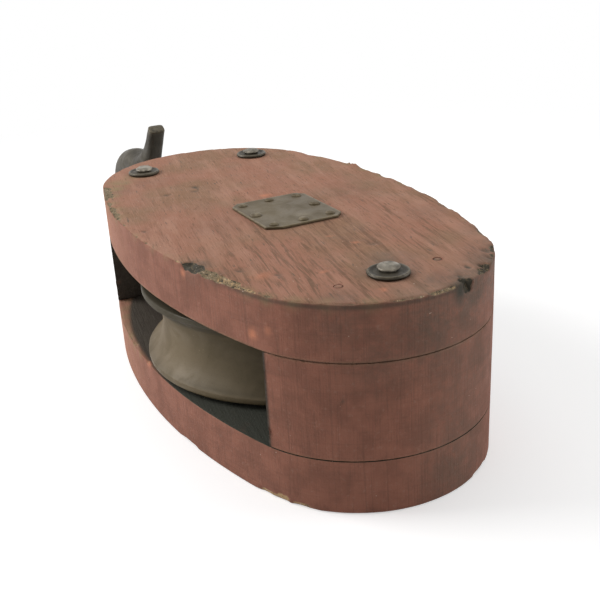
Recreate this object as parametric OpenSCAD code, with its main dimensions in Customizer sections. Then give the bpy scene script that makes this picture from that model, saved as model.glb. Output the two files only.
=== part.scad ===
// Wooden ship's block: one bronze sheave, an internal iron strap and a swivel hook.
// The block lies on its lower cheek. Z is up and runs along the sheave pin, the crown
// and the hook point along -X, and the heel points along +X. The origin is where the
// pin axis meets the flat underside.

/* [Shell] */
// Length of the oval shell, crown to heel
shell_length = 203; // [198:1:250]
// Width of the oval shell
shell_width = 109; // [104:1:136]
// Radius of the shell's crown end
crown_radius = 48; // [40:1:51]
// Radius of the shell's heel end
heel_radius = 44; // [36:1:51]
// How far the pin sits from the middle of the shell, toward the heel
pin_offset = 9.5; // [4:0.5:12]
// Thickness of each cheek
cheek_thickness = 18.4; // [14:0.2:26]
// Height of the mortise between the cheeks
mortise_height = 32.2; // [29:0.2:44]

/* [Sheave] */
// Diameter over the sheave's rims
sheave_diameter = 109; // [90:0.2:110]
// Gap between the sheave's rim and the crown filler, where the rope reeves
swallow_gap = 21; // [16:0.1:25]
// Gap between the sheave's rim and the heel filler
heel_gap = 9.7; // [6:0.1:12]
// Play between each rim's flat side and the cheek beside it, with the sheave centred
rim_play = 2; // [1.5:0.1:4]
// Play between the hub and the strap leg beside it, with the sheave centred
hub_play = 0.9; // [0.9:0.1:1.4]
// Gap left under the hub once the sheave has settled toward the lower cheek
hub_rest_gap = 0.3; // [0.2:0.1:0.8]
// Width of the flat land on each rim
rim_land = 2.4; // [1:0.1:4]
// Depth of the rope groove
groove_depth = 6.5; // [3:0.5:9]
// Diameter of the sheave's hub
hub_diameter = 40; // [32:1:50]
// Depth of the dish in each side of the web
web_dish = 4; // [1:0.5:7]

/* [Pin and bush] */
// Diameter of the pin
pin_diameter = 16; // [12:0.5:19.5]
// Wall of the bronze bush
bush_wall = 4; // [2.5:0.5:6]
// Radial clearance of turning parts on their shafts
running_clearance = 0.1; // [0.05:0.01:0.1]
// Radial clearance of fixed parts in their holes
fixed_clearance = 0.05; // [0.02:0.01:0.2]

/* [Strap] */
// Width of the strap's legs
strap_width = 26; // [22:1:32]
// Thickness of the strap's legs
strap_thickness = 5; // [3:0.5:8]
// Thickness of the yoke that carries the hook
yoke_thickness = 10.5; // [7:0.5:16]
// Gap round the strap where it is let into the wood
strap_gap = 0.3; // [0.2:0.1:0.8]

/* [Hook] */
// Diameter of the hook's swivel shank
shank_diameter = 14; // [10:0.5:17]
// Diameter of the shank's riveted head
shank_head_diameter = 20; // [18:0.5:24]
// Thickness of the shank's riveted head
shank_head_height = 4.5; // [3:0.5:7]
// Thickness of the washer under the riveted head
shank_washer_height = 2.4; // [1.5:0.1:4]
// Diameter of the hook's neck, past its collar
neck_diameter = 15; // [13:0.2:16]
// Diameter of the hook's collar
collar_diameter = 22; // [19:1:28]
// Thickness of the hook's collar
collar_height = 6; // [4:0.5:10]
// Reach from the collar to the middle of the bowl
bowl_reach = 51.5; // [44:0.5:60]
// Radius of the middle line of the bowl
bowl_radius = 19.5; // [17:0.5:22]
// How far the middle of the bowl hangs below the shank
bowl_drop = 4; // [1:0.5:5.5]
// Thickness of the bowl
bowl_thickness = 17; // [12:0.5:19]
// Reach from the middle of the bowl to the bill's end
bill_reach = 38; // [34:0.5:42]
// Height of the bill's end above the shank
bill_rise = 40.7; // [36:0.1:52]
// Width of the bill's end
bill_width = 7.6; // [5:0.2:10]
// Thickness of the bill's end
bill_thickness = 4.8; // [3:0.2:7]

/* [Fastenings] */
// Diameter of the rivets
rivet_diameter = 5; // [4:0.5:6.5]
// Diameter of the rivets' clenched heads
rivet_head_diameter = 7.8; // [7:0.1:9]
// Height of the rivets' clenched heads
rivet_head_height = 1.7; // [1:0.1:3]
// Diameter of the roves
rove_diameter = 13.4; // [11:0.2:18]
// Thickness of the roves
rove_thickness = 1.3; // [0.8:0.1:2.5]
// Distance of the crown rivets from the crown filler's inner face
crown_rivet_edge = 10.4; // [6:0.2:14]
// Distance of the crown rivets from the middle line
crown_rivet_side = 25.2; // [20:0.1:30]
// Distance of the heel rivet from the heel filler's inner face
heel_rivet_edge = 8.2; // [5:0.2:14]
// How far the heel rivet sits off the middle line
heel_rivet_side = -2.3; // [-6:0.1:6]
// Distance of the near heel nail from the middle line
heel_nail_near = 19.2; // [14:0.1:26]
// Distance of the far heel nail from the middle line
heel_nail_far = 16.3; // [12:0.1:26]
// How far the far heel nail stands back toward the pin from the heel rivet
heel_nail_back = 1.9; // [-1:0.1:3]
// How deep the heel nails reach into the heel filler
heel_nail_bite = 20; // [10:1:26]

/* [Pin plates] */
// Length of the pin plates along the shell
plate_length = 34.2; // [32:0.2:46]
// Width of the pin plates across the shell
plate_width = 29.8; // [28:0.2:40]
// Thickness of the pin plates
plate_thickness = 0.9; // [0.6:0.1:2.5]
// Cut at the plates' near corner, along their short edge
plate_near_cut = 5.4; // [2:0.2:6]
// Cut at the plates' near corner, along their long edge
plate_near_bevel = 2.8; // [1:0.2:4]
// Cut at the plates' other corners
plate_cut = 3; // [1:0.5:4]
// Diameter of the plate nails' heads
nail_head_diameter = 4; // [3:0.1:5]
// Height of the plate nails' heads
nail_head_height = 0.9; // [0.6:0.1:2]
// Diameter of the plate nails
nail_diameter = 2; // [1.4:0.1:2.6]
// Length of the plate nails below the plate
nail_length = 12; // [8:1:13]
// Distance of the corner nails from the plate's edges
nail_margin = 3.9; // [3.4:0.1:5]
// How far the nails between them stand outside their lines
nail_bow = 0.8; // [0:0.1:1.2]

/* [Hidden] */
$fn = 72;
eps = 0.5;

// Heights
shell_height = 2 * cheek_thickness + mortise_height;
mid_height = shell_height / 2;
cheek_inner = shell_height - cheek_thickness;

// Oval outline: two end arcs joined by two long side arcs that touch them smoothly
crown_x = -shell_length / 2 - pin_offset;
heel_x = shell_length / 2 - pin_offset;
crown_centre = crown_x + crown_radius;
heel_centre = heel_x - heel_radius;
crown_step = shell_width / 2 - crown_radius;
heel_step = shell_width / 2 - heel_radius;
centre_gap = heel_centre - crown_centre;
arc_share = 1 - heel_step / crown_step;
arc_rest = centre_gap * centre_gap + heel_step * (heel_radius - crown_radius);
crown_run = arc_rest / (centre_gap + sqrt(centre_gap * centre_gap - arc_share * arc_rest));
side_radius = (crown_run * crown_run / crown_step + crown_radius + shell_width / 2) / 2;
side_x = crown_centre + crown_run;
side_y = side_radius - shell_width / 2;
crown_angle = atan2(side_y, crown_centre - side_x);
heel_angle = atan2(side_y, heel_centre - side_x);
side_steps = 28;
crown_steps = 40;
heel_steps = 36;

// Sheave
sheave_radius = sheave_diameter / 2;
sheave_width = mortise_height - 2 * rim_play;
hub_length = mortise_height - 2 * hub_play;
sheave_height = mid_height - hub_play + hub_rest_gap;
groove_half = sheave_width / 2 - rim_land;
groove_radius = (groove_half * groove_half + groove_depth * groove_depth) / (2 * groove_depth);
bush_radius = pin_diameter / 2 + running_clearance + bush_wall;
web_margin = 9;

// Fillers
crown_filler_x = -sheave_radius - swallow_gap;
heel_filler_x = sheave_radius + heel_gap;

// Strap: the yoke stands just clear of the crown
yoke_inner_x = crown_x - strap_gap;
yoke_outer_x = yoke_inner_x - yoke_thickness;
leg_eye_margin = 2;
leg_eye_radius = strap_width / 2 + leg_eye_margin;
yoke_corner = 6;

// Swivel: washer and riveted head inside the yoke, collar outside it
swivel_play = 0.3;
washer_x = yoke_inner_x + shank_washer_height;
head_x = washer_x + swivel_play;
head_end_x = head_x + shank_head_height;
collar_x = yoke_outer_x - swivel_play;
collar_end_x = collar_x - collar_height;
washer_clearance = 0.3;
pocket_side_gap = 1.5;
pocket_end_gap = 1;
pocket_radius = shank_head_diameter / 2 + pocket_side_gap;
pocket_end_x = head_end_x + pocket_end_gap;
bowl_x = collar_end_x - bowl_reach;

// Rivets
crown_rivet_x = crown_filler_x - crown_rivet_edge;
heel_rivet_x = heel_filler_x + heel_rivet_edge;
LEFT = [crown_rivet_x, -crown_rivet_side];
RIGHT = [crown_rivet_x, crown_rivet_side];
HEEL = [heel_rivet_x, heel_rivet_side];
sink_depth = 2.5;

// Nails: four near the plate's corners and four at the middles of its sides
nail_x = plate_length / 2 - nail_margin;
nail_y = plate_width / 2 - nail_margin;
PLATE_NAILS = concat([for (x = [-1, 1], y = [-1, 1]) [x * nail_x, y * nail_y]],
    [for (side = [-1, 1]) each [[side * (nail_x + nail_bow), 0], [0, side * (nail_y + nail_bow)]]]);
HEEL_NAILS = [[heel_rivet_x, -heel_nail_near], [heel_rivet_x - heel_nail_back, heel_nail_far]];
heel_nail_length = cheek_thickness + heel_nail_bite;
nail_sink_floor = 0.1;
nail_sink_depth = plate_thickness - nail_sink_floor;

// Colours
PAINT = [0.47, 0.27, 0.22];
BARE_IRON = [0.22, 0.20, 0.17];
BRONZE = [0.36, 0.32, 0.23];
STEEL = [0.40, 0.38, 0.35];

// ---- Shared shapes ----

// Points along an arc, without its last one
function arc(x, y, radius, from, to, steps) = [for (i = [0 : steps - 1])
    let (angle = from + (to - from) * i / steps)
    [x + radius * cos(angle), y + radius * sin(angle)]];

// Plan outline of the shell
module oval() {
    polygon(concat(
        arc(heel_centre, 0, heel_radius, -heel_angle, heel_angle, heel_steps),
        arc(side_x, -side_y, side_radius, heel_angle, crown_angle, side_steps),
        arc(crown_centre, 0, crown_radius, crown_angle, 360 - crown_angle, crown_steps),
        arc(side_x, side_y, side_radius, -crown_angle, -heel_angle, side_steps)));
}

// Plan outline of a strap leg, grown by a gap for the groove it lies in
module leg_outline(gap = 0) {
    translate([yoke_outer_x - gap, -strap_width / 2 - gap])
        square([-yoke_outer_x + gap, strap_width + 2 * gap]);
    circle(leg_eye_radius + gap);
}

// Upright hole through the whole shell
module through_hole(at, radius) {
    translate([at[0], at[1], -eps]) cylinder(r = radius, h = shell_height + 2 * eps);
}

// Holes for the pin and the three rivets
module shell_holes() {
    through_hole([0, 0], pin_diameter / 2 + fixed_clearance);
    for (at = [LEFT, RIGHT, HEEL]) through_hole(at, rivet_diameter / 2 + fixed_clearance);
}

// Cylinder along X, from one X to a larger one
module x_cylinder(from_x, to_x, radius) {
    translate([from_x, 0, mid_height]) rotate([0, 90, 0])
        cylinder(r = radius, h = to_x - from_x);
}

// Low round dome standing on z = 0
module dome(diameter, height) {
    ball = (diameter * diameter / 4 + height * height) / (2 * height);
    intersection() {
        translate([0, 0, height - ball]) sphere(ball);
        cylinder(d = diameter, h = height);
    }
}

// ---- Wooden shell ----

module upper_cheek() {
    color(PAINT) difference() {
        translate([0, 0, cheek_inner]) linear_extrude(cheek_thickness) oval();
        translate([0, 0, cheek_inner - eps])
            linear_extrude(strap_thickness + eps) leg_outline(strap_gap);
        shell_holes();
        for (at = PLATE_NAILS)
            translate([at[0], at[1], shell_height - nail_length])
                cylinder(r = nail_diameter / 2 + fixed_clearance, h = nail_length + eps);
        for (at = HEEL_NAILS)
            translate([at[0], at[1], cheek_inner - eps])
                cylinder(r = nail_diameter / 2 + fixed_clearance, h = cheek_thickness + 2 * eps);
    }
}

module lower_cheek() {
    color(PAINT) difference() {
        linear_extrude(cheek_thickness) oval();
        translate([0, 0, cheek_thickness - strap_thickness])
            linear_extrude(strap_thickness + eps) leg_outline(strap_gap);
        shell_holes();
        translate([0, 0, -eps]) linear_extrude(plate_thickness + eps)
            plate_outline(fixed_clearance);
        for (at = PLATE_NAILS)
            translate([at[0], at[1], -eps])
                cylinder(r = nail_diameter / 2 + fixed_clearance, h = nail_length + eps);
        for (at = [LEFT, RIGHT, HEEL]) translate([at[0], at[1], 0]) sink(fixed_clearance);
    }
}

module crown_filler() {
    color(PAINT) difference() {
        translate([0, 0, cheek_thickness]) linear_extrude(mortise_height) intersection() {
            oval();
            translate([crown_x - eps, -shell_width])
                square([crown_filler_x - crown_x + eps, 2 * shell_width]);
        }
        shell_holes();
        x_cylinder(crown_x - eps, pocket_end_x, pocket_radius);
    }
}

module heel_filler() {
    color(PAINT) difference() {
        translate([0, 0, cheek_thickness]) linear_extrude(mortise_height) intersection() {
            oval();
            translate([heel_filler_x, -shell_width]) square([heel_x, 2 * shell_width]);
        }
        shell_holes();
        for (at = HEEL_NAILS)
            translate([at[0], at[1], shell_height - heel_nail_length])
                cylinder(r = nail_diameter / 2 + fixed_clearance, h = heel_nail_length);
    }
}

// ---- Iron strap ----

// Side profile of the strap: two legs joined by the thick yoke
module strap_profile() {
    low = cheek_thickness - strap_thickness;
    high = cheek_inner + strap_thickness;
    difference() {
        union() {
            translate([yoke_outer_x + yoke_corner, low])
                square([leg_eye_radius - yoke_outer_x - yoke_corner, high - low]);
            translate([yoke_outer_x, low + yoke_corner])
                square([yoke_corner + eps, high - low - 2 * yoke_corner]);
            for (z = [low + yoke_corner, high - yoke_corner])
                translate([yoke_outer_x + yoke_corner, z]) circle(yoke_corner);
        }
        translate([yoke_inner_x, cheek_thickness])
            square([leg_eye_radius - yoke_inner_x + eps, mortise_height]);
    }
}

module strap() {
    color(BARE_IRON) difference() {
        intersection() {
            translate([0, strap_width, 0]) rotate([90, 0, 0])
                linear_extrude(2 * strap_width) strap_profile();
            linear_extrude(shell_height) leg_outline();
        }
        through_hole([0, 0], pin_diameter / 2 + fixed_clearance);
        x_cylinder(yoke_outer_x - eps, yoke_inner_x + eps,
            shank_diameter / 2 + running_clearance);
    }
}

// ---- Sheave and pin ----

module sheave_pin() {
    color(STEEL) translate([0, 0, plate_thickness])
        cylinder(d = pin_diameter, h = shell_height - plate_thickness);
}

module sheave() {
    bore = bush_radius + fixed_clearance;
    color(BRONZE) translate([0, 0, sheave_height]) difference() {
        union() {
            rotate_extrude($fn = 144) difference() {
                translate([bore - eps, -sheave_width / 2])
                    square([sheave_radius - bore + eps, sheave_width]);
                translate([sheave_radius - groove_depth + groove_radius, 0])
                    circle(groove_radius);
                for (side = [-1, 1])
                    translate([hub_diameter / 2, side * sheave_width / 2 - web_dish])
                        square([sheave_radius - groove_depth - web_margin - hub_diameter / 2,
                            2 * web_dish]);
            }
            translate([0, 0, -hub_length / 2]) cylinder(d = hub_diameter, h = hub_length);
        }
        translate([0, 0, -hub_length]) cylinder(r = bore, h = 2 * hub_length);
    }
}

module sheave_bush() {
    color([0.55, 0.45, 0.27]) translate([0, 0, sheave_height - hub_length / 2]) difference() {
        cylinder(r = bush_radius, h = hub_length);
        translate([0, 0, -eps])
            cylinder(r = pin_diameter / 2 + running_clearance, h = hub_length + 2 * eps);
    }
}

// ---- Swivel hook ----

// Point on the bowl's middle line at an angle, as [x, height above the shank]
function on_bowl(angle) =
    [bowl_x + bowl_radius * cos(angle), -bowl_drop + bowl_radius * sin(angle)];

// Stations round the bowl: [angle, change of half thickness, change of half width]
BOWL = [[-46, -0.6, -1], [-90, 0, -0.4], [-135, 0, 0], [-180, 0, 0], [-225, -0.4, 0],
    [-265, -1.2, -0.8]];
// Stations up the bill, each value a share of the way from the bowl to the bill's end:
// [reach, rise, thickness, width], and how square the section is
BILL = [[0.32, 0.06, 0.37, 0.38, 2.2], [0.55, 0.24, 0.58, 0.67, 2.6],
    [0.78, 0.56, 0.84, 0.91, 3.4], [1, 1, 1, 1, 4.4]];

// Stations down the hook: [x, height, half thickness, half width, squareness]
neck_radius = neck_diameter / 2;
neck_root = 3;
neck_run = 7;
neck_sag = 0.8;
bowl_thick = bowl_thickness / 2;
bowl_spread = 0.3;
bowl_wide = bowl_thick + bowl_spread;
bowl_top = bowl_radius - bowl_drop;
HOOK = concat(
    [[collar_end_x + neck_root, 0, neck_radius, neck_radius, 2],
        [collar_end_x - neck_run, -neck_sag, neck_radius, neck_radius, 2]],
    [for (s = BOWL) concat(on_bowl(s[0]), [bowl_thick + s[1], bowl_wide + s[2], 2])],
    [for (s = BILL) [bowl_x + s[0] * bill_reach, bowl_top + s[1] * (bill_rise - bowl_top),
        bowl_thick + s[2] * (bill_thickness / 2 - bowl_thick),
        bowl_wide + s[3] * (bill_width / 2 - bowl_wide), s[4]]]);
hook_sides = 20;
hook_steps = 4;

// Smooth blend of four neighbouring stations
function blend(a, b, c, d, t) = 0.5 * (2 * b + (c - a) * t
    + (2 * a - 5 * b + 4 * c - d) * t * t + (3 * b - a - 3 * c + d) * t * t * t);
function station(i) = HOOK[max(0, min(len(HOOK) - 1, i))];
function hook_ring_data(k) = let (i = floor(k / hook_steps), t = k / hook_steps - i)
    blend(station(i - 1), station(i), station(i + 1), station(i + 2), t);
function signed_power(value, power) = sign(value) * pow(abs(value), power);
function hook_ring(k, last) = let (
        data = hook_ring_data(k),
        behind = hook_ring_data(max(0, k - 1)),
        ahead = hook_ring_data(min(last, k + 1)),
        run = [ahead[0] - behind[0], ahead[1] - behind[1]],
        out = [-run[1], run[0]] / norm(run))
    [for (s = [0 : hook_sides - 1]) let (
            angle = 360 * s / hook_sides,
            u = data[2] * signed_power(cos(angle), 2 / data[4]),
            v = data[3] * signed_power(sin(angle), 2 / data[4]))
        [data[0] + out[0] * u, v, mid_height + data[1] + out[1] * u]];

// The forged body of the hook, swept down its stations
module hook_body() {
    last = (len(HOOK) - 1) * hook_steps;
    points = [for (k = [0 : last]) each hook_ring(k, last)];
    walls = [for (k = [0 : last - 1], s = [0 : hook_sides - 1])
        let (n = (s + 1) % hook_sides, a = k * hook_sides, b = a + hook_sides)
        each [[a + s, a + n, b + s], [a + n, b + n, b + s]]];
    first_cap = [for (s = [hook_sides - 1 : -1 : 0]) s];
    end_cap = [for (s = [0 : hook_sides - 1]) last * hook_sides + s];
    polyhedron(points, concat(walls, [first_cap], [end_cap]), convexity = 8);
}

module swivel_hook() {
    color(BARE_IRON) {
        x_cylinder(head_x, head_end_x, shank_head_diameter / 2);
        x_cylinder(collar_x - eps, head_x + eps, shank_diameter / 2);
        x_cylinder(collar_end_x, collar_x, collar_diameter / 2);
        hook_body();
    }
}

module hook_washer() {
    color(BARE_IRON) difference() {
        x_cylinder(yoke_inner_x, washer_x, shank_head_diameter / 2);
        x_cylinder(yoke_inner_x - eps, washer_x + eps,
            shank_diameter / 2 + washer_clearance);
    }
}

// ---- Rivets and roves ----

// Flush countersunk end in the lower cheek, and the hole for it
module sink(gap = 0) {
    flare = rivet_head_diameter / 2;
    translate([0, 0, -gap]) cylinder(r1 = flare + gap, r2 = rivet_diameter / 2 + gap,
        h = sink_depth + gap);
}

module rivet(at) {
    top = shell_height + rove_thickness;
    color(BARE_IRON) translate([at[0], at[1], 0]) {
        sink();
        cylinder(d = rivet_diameter, h = top + eps);
        translate([0, 0, top]) dome(rivet_head_diameter, rivet_head_height);
    }
}

module rove(at) {
    color(BARE_IRON) translate([at[0], at[1], shell_height]) difference() {
        cylinder(d = rove_diameter, h = rove_thickness);
        translate([0, 0, -eps])
            cylinder(r = rivet_diameter / 2 + fixed_clearance, h = rove_thickness + 2 * eps);
    }
}

module crown_rivet_left() { rivet(LEFT); }
module crown_rivet_right() { rivet(RIGHT); }
module heel_rivet() { rivet(HEEL); }
module crown_rove_left() { rove(LEFT); }
module crown_rove_right() { rove(RIGHT); }
module heel_rove() { rove(HEEL); }

// ---- Pin plates and nails ----

// Plate outline with its corners cut, more at the near corner, grown by a gap
module plate_outline(gap = 0) {
    x = plate_length / 2 + gap;
    y = plate_width / 2 + gap;
    c = plate_cut;
    polygon([[-x + c, -y], [x - plate_near_bevel, -y], [x, -y + plate_near_cut], [x, y - c], [x - c, y],
        [-x + c, y], [-x, y - c], [-x, -y + c]]);
}

module pin_plate(z) {
    color(BRONZE) translate([0, 0, z]) difference() {
        linear_extrude(plate_thickness) plate_outline();
        for (at = PLATE_NAILS) translate([at[0], at[1], -eps])
            cylinder(r = nail_diameter / 2 + fixed_clearance, h = plate_thickness + 2 * eps);
    }
}

module upper_pin_plate() { pin_plate(shell_height); }
module lower_pin_plate() {
    difference() {
        pin_plate(0);
        for (at = PLATE_NAILS) translate([at[0], at[1], 0]) nail_sink(fixed_clearance);
    }
}

// Flush countersunk head of a lower plate nail, and the hole for it
module nail_sink(gap = 0) {
    translate([0, 0, -gap]) cylinder(r1 = nail_head_diameter / 2 + gap,
        r2 = nail_diameter / 2 + gap, h = nail_sink_depth + gap);
}

module upper_plate_nails() {
    top = shell_height + plate_thickness;
    color(BRONZE) for (at = PLATE_NAILS) translate([at[0], at[1], 0]) {
        translate([0, 0, top]) dome(nail_head_diameter, nail_head_height);
        translate([0, 0, top - nail_length])
            cylinder(d = nail_diameter, h = nail_length + nail_head_height / 4);
    }
}

module lower_plate_nails() {
    color(BRONZE) for (at = PLATE_NAILS) translate([at[0], at[1], 0]) {
        nail_sink();
        cylinder(d = nail_diameter, h = nail_length - eps);
    }
}

module heel_nails() {
    color(BARE_IRON) for (at = HEEL_NAILS)
        translate([at[0], at[1], shell_height - heel_nail_length])
            cylinder(d = nail_diameter, h = heel_nail_length);
}

upper_cheek();
lower_cheek();
crown_filler();
heel_filler();
strap();
sheave_pin();
sheave();
sheave_bush();
swivel_hook();
hook_washer();
crown_rivet_left();
crown_rivet_right();
heel_rivet();
crown_rove_left();
crown_rove_right();
heel_rove();
upper_pin_plate();
upper_plate_nails();
lower_pin_plate();
lower_plate_nails();
heel_nails();
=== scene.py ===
"""A wooden ship's block: an oval painted shell, one wide bronze sheave, an iron strap and a swivel hook.

Sizes are in millimetres, and a mesh turns them into metres when it is made. The block lies on
its lower cheek, with the crown and the hook toward -X and the sheave pin standing along Z.
"""

import itertools
import logging
import math
from dataclasses import dataclass, field
from enum import Enum
from typing import Sequence

import bmesh
import bpy
import numpy as np
from mathutils import Matrix, Vector


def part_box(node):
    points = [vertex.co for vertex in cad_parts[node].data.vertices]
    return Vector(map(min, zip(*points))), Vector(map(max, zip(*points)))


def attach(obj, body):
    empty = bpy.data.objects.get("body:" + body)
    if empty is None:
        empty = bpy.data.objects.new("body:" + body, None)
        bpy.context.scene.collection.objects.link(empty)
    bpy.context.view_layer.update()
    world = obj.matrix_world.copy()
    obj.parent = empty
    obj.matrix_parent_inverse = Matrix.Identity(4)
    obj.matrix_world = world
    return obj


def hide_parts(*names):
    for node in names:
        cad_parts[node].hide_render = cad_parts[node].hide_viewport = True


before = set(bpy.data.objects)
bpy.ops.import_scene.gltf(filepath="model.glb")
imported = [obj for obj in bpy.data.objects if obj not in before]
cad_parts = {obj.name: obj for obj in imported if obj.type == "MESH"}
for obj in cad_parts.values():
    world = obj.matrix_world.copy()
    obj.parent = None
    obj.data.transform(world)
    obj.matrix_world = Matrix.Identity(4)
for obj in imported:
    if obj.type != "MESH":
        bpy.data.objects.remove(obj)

LOG = logging.getLogger("block")
MM = 0.001
FULL_TURN = 2 * math.pi
BAR_SIDES = 48
Colour = tuple[float, float, float]
Place = tuple[float, float, float]
WOOD_MARKS = ("face", "bare", "fresh", "dirt", "rubbed", "grease_and_shade", "inner", "open", "faded_and_lit", "olive", "dust_sheen_and_shade")


class Body(Enum):
    """The moving bodies of the block."""

    SHELL = "shell"
    SHEAVE = "sheave"
    HOOK = "hook"


class Slot(Enum):
    """The record's material slots."""

    PAINT = "painted_wood"
    IRON = "iron"
    FASTENING = "fastening"
    PLATE = "plate"
    SHEAVE = "sheave"
    BUSH = "bush"
    PIN = "pin"


# ---- Numbers over a surface ----


def lattice_noise(points: np.ndarray, size: float | Sequence[float], seed: int) -> np.ndarray:
    """Smooth noise from -1 to 1 that gives the same values each time.

    Args:
        points: Points in millimetres, one a row.
        size: Size of a feature, alike in all directions or one number for each axis.
        seed: Chooses the pattern.

    Returns:
        One value for each point.
    """
    place = points / np.asarray(size, float)
    base = np.floor(place).astype(np.int64)
    part = place - base
    part = part * part * (3 - 2 * part)
    total = np.zeros(len(points))
    for corner in itertools.product((0, 1), repeat=3):
        cell = base + np.array(corner)
        mixed = cell[:, 0] * 73856093 ^ cell[:, 1] * 19349663 ^ cell[:, 2] * 83492791
        mixed = (mixed ^ (seed * 40503 + 977)) & 0xFFFFFFFF
        mixed = ((mixed ^ (mixed >> 15)) * 73244475) & 0xFFFFFFFF
        mixed = ((mixed ^ (mixed >> 13)) * 73244475) & 0xFFFFFFFF
        value = ((mixed ^ (mixed >> 16)) & 0xFFFF) / 32767.5 - 1
        total += value * np.prod(np.where(np.array(corner) == 1, part, 1 - part), axis=1)
    return total


def layered_noise(
    points: np.ndarray, size: float | Sequence[float], seed: int, layers: int = 3
) -> np.ndarray:
    """Noise with finer and weaker layers on top of the first.

    Args:
        points: Points in millimetres.
        size: Size of the largest features.
        seed: Chooses the pattern.
        layers: How many layers, each half the size of the one before.

    Returns:
        One value for each point, about -1 to 1.
    """
    sizes = np.asarray(size, float)
    parts = [lattice_noise(points, sizes / 2**i, seed + 17 * i) / 2**i for i in range(layers)]
    return sum(parts) / sum(1 / 2**i for i in range(layers))


def ease(value: np.ndarray) -> np.ndarray:
    """value held to 0 to 1 and smoothed at both ends."""
    held = np.clip(value, 0, 1)
    return held * held * (3 - 2 * held)


def ladder(start: float, stop: float, step: float) -> np.ndarray:
    """Evenly spaced numbers from start to stop, about step apart."""
    return np.linspace(start, stop, max(2, round(abs(stop - start) / step) + 1))


def box_mm(node: str) -> tuple[np.ndarray, np.ndarray]:
    """Lowest and highest corner of a CAD node, in millimetres."""
    low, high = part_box(node)
    return np.array(low) / MM, np.array(high) / MM


def middle_of(points: np.ndarray) -> np.ndarray:
    """Middle of the box that holds the points."""
    return (points.min(0) + points.max(0)) / 2


def filled(line: Sequence[tuple[float, float]], most: float) -> list[tuple[float, float]]:
    """A closed line with points added so that none are more than most apart."""
    full = []
    for i, point in enumerate(line):
        ahead = line[(i + 1) % len(line)]
        parts = max(1, math.ceil(math.dist(point, ahead) / most))
        full += [tuple(np.array(point) + (np.array(ahead) - point) * k / parts) for k in range(parts)]
    return full


def rounded(corners: Sequence[tuple[float, float, float]], steps: int = 4) -> list[tuple[float, float]]:
    """A closed line with its corners rounded.

    Args:
        corners: Corner points as (r, z, radius of the corner).
        steps: Points on each rounded corner, less one.

    Returns:
        The points of the line in order.
    """
    line = []
    for i, (r, z, radius) in enumerate(corners):
        here = np.array([r, z])
        before = np.array(corners[i - 1][:2]) - here
        after = np.array(corners[(i + 1) % len(corners)][:2]) - here
        if radius <= 0:
            line.append((r, z))
            continue
        before, after = before / np.linalg.norm(before), after / np.linalg.norm(after)
        half = math.acos(float(np.clip(before @ after, -1, 1))) / 2
        start, end = here + before * radius / math.tan(half), here + after * radius / math.tan(half)
        for t in np.linspace(0, 1, steps + 1):
            line.append(tuple((1 - t) ** 2 * start + 2 * t * (1 - t) * here + t * t * end))
    return line


# ---- Meshes in the making ----


@dataclass
class Skin:
    """Points in millimetres, the faces between them, and marks that a finish reads."""

    points: np.ndarray
    faces: list[tuple[int, ...]]
    marks: dict[str, np.ndarray] = field(default_factory=dict)

    def normals(self) -> np.ndarray:
        """Unit normal at each point."""
        quads = np.array([f if len(f) == 4 else (*f, f[2]) for f in self.faces])
        corner = self.points[quads]
        cross = np.cross(corner[:, 2] - corner[:, 0], corner[:, 3] - corner[:, 1])
        total = np.zeros_like(self.points)
        for k in range(4):
            np.add.at(total, quads[:, k], cross)
        return total / np.maximum(np.linalg.norm(total, axis=1, keepdims=True), 1e-12)

    def sink(self, depth: np.ndarray) -> None:
        """Moves each point inward along its normal by depth."""
        self.points = self.points - self.normals() * depth[:, None]

    def mesh(self, name: str) -> bpy.types.Mesh:
        """Turns the skin into a Blender mesh, with points that coincide made one."""
        mesh = bpy.data.meshes.new(name)
        mesh.from_pydata((self.points * MM).tolist(), [], self.faces)
        for mark, values in self.marks.items():
            mesh.attributes.new(mark, "FLOAT", "POINT").data.foreach_set("value", values.astype(np.float32))
        work = bmesh.new()
        work.from_mesh(mesh)
        bmesh.ops.remove_doubles(work, verts=work.verts, dist=2e-6)
        bmesh.ops.dissolve_degenerate(work, edges=work.edges, dist=1e-7)
        work.to_mesh(mesh)
        work.free()
        return mesh

    @staticmethod
    def joined(skins: Sequence["Skin"]) -> "Skin":
        """Several skins as one, with the marks that they all have."""
        faces, start = [], 0
        for skin in skins:
            faces += [tuple(i + start for i in f) for f in skin.faces]
            start += len(skin.points)
        marks = {m: np.concatenate([s.marks[m] for s in skins]) for m in skins[0].marks}
        return Skin(np.vstack([s.points for s in skins]), faces, marks)


def ring_faces(rings: int, count: int, closed: bool = False) -> list[tuple[int, ...]]:
    """Faces between rings of count points, and from the last ring to the first if closed."""
    faces = []
    for k in range(rings if closed else rings - 1):
        a, b = k * count, ((k + 1) % rings) * count
        faces += [(a + i, a + (i + 1) % count, b + (i + 1) % count, b + i) for i in range(count)]
    return faces


def revolve(line: Sequence[tuple[float, float]], sides: int, closed: bool) -> Skin:
    """Turns a line about the Z axis.

    Args:
        line: Points as (radius, z), going up on the outside.
        sides: Points round the axis.
        closed: True if the last point joins the first, and False if both ends are on the axis.

    Returns:
        The skin, standing on the origin.
    """
    angles = np.arange(sides) * FULL_TURN / sides
    rings = [np.column_stack([r * np.cos(angles), r * np.sin(angles), np.full(sides, z)]) for r, z in line]
    return Skin(np.vstack(rings), ring_faces(len(line), sides, closed))


def smooth_shaded(mesh: bpy.types.Mesh, crease: float = 40) -> None:
    """Smooth shading, with edges sharper than crease degrees left sharp."""
    mesh.polygons.foreach_set("use_smooth", [True] * len(mesh.polygons))
    mesh.set_sharp_from_angle(angle=math.radians(crease))


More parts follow.
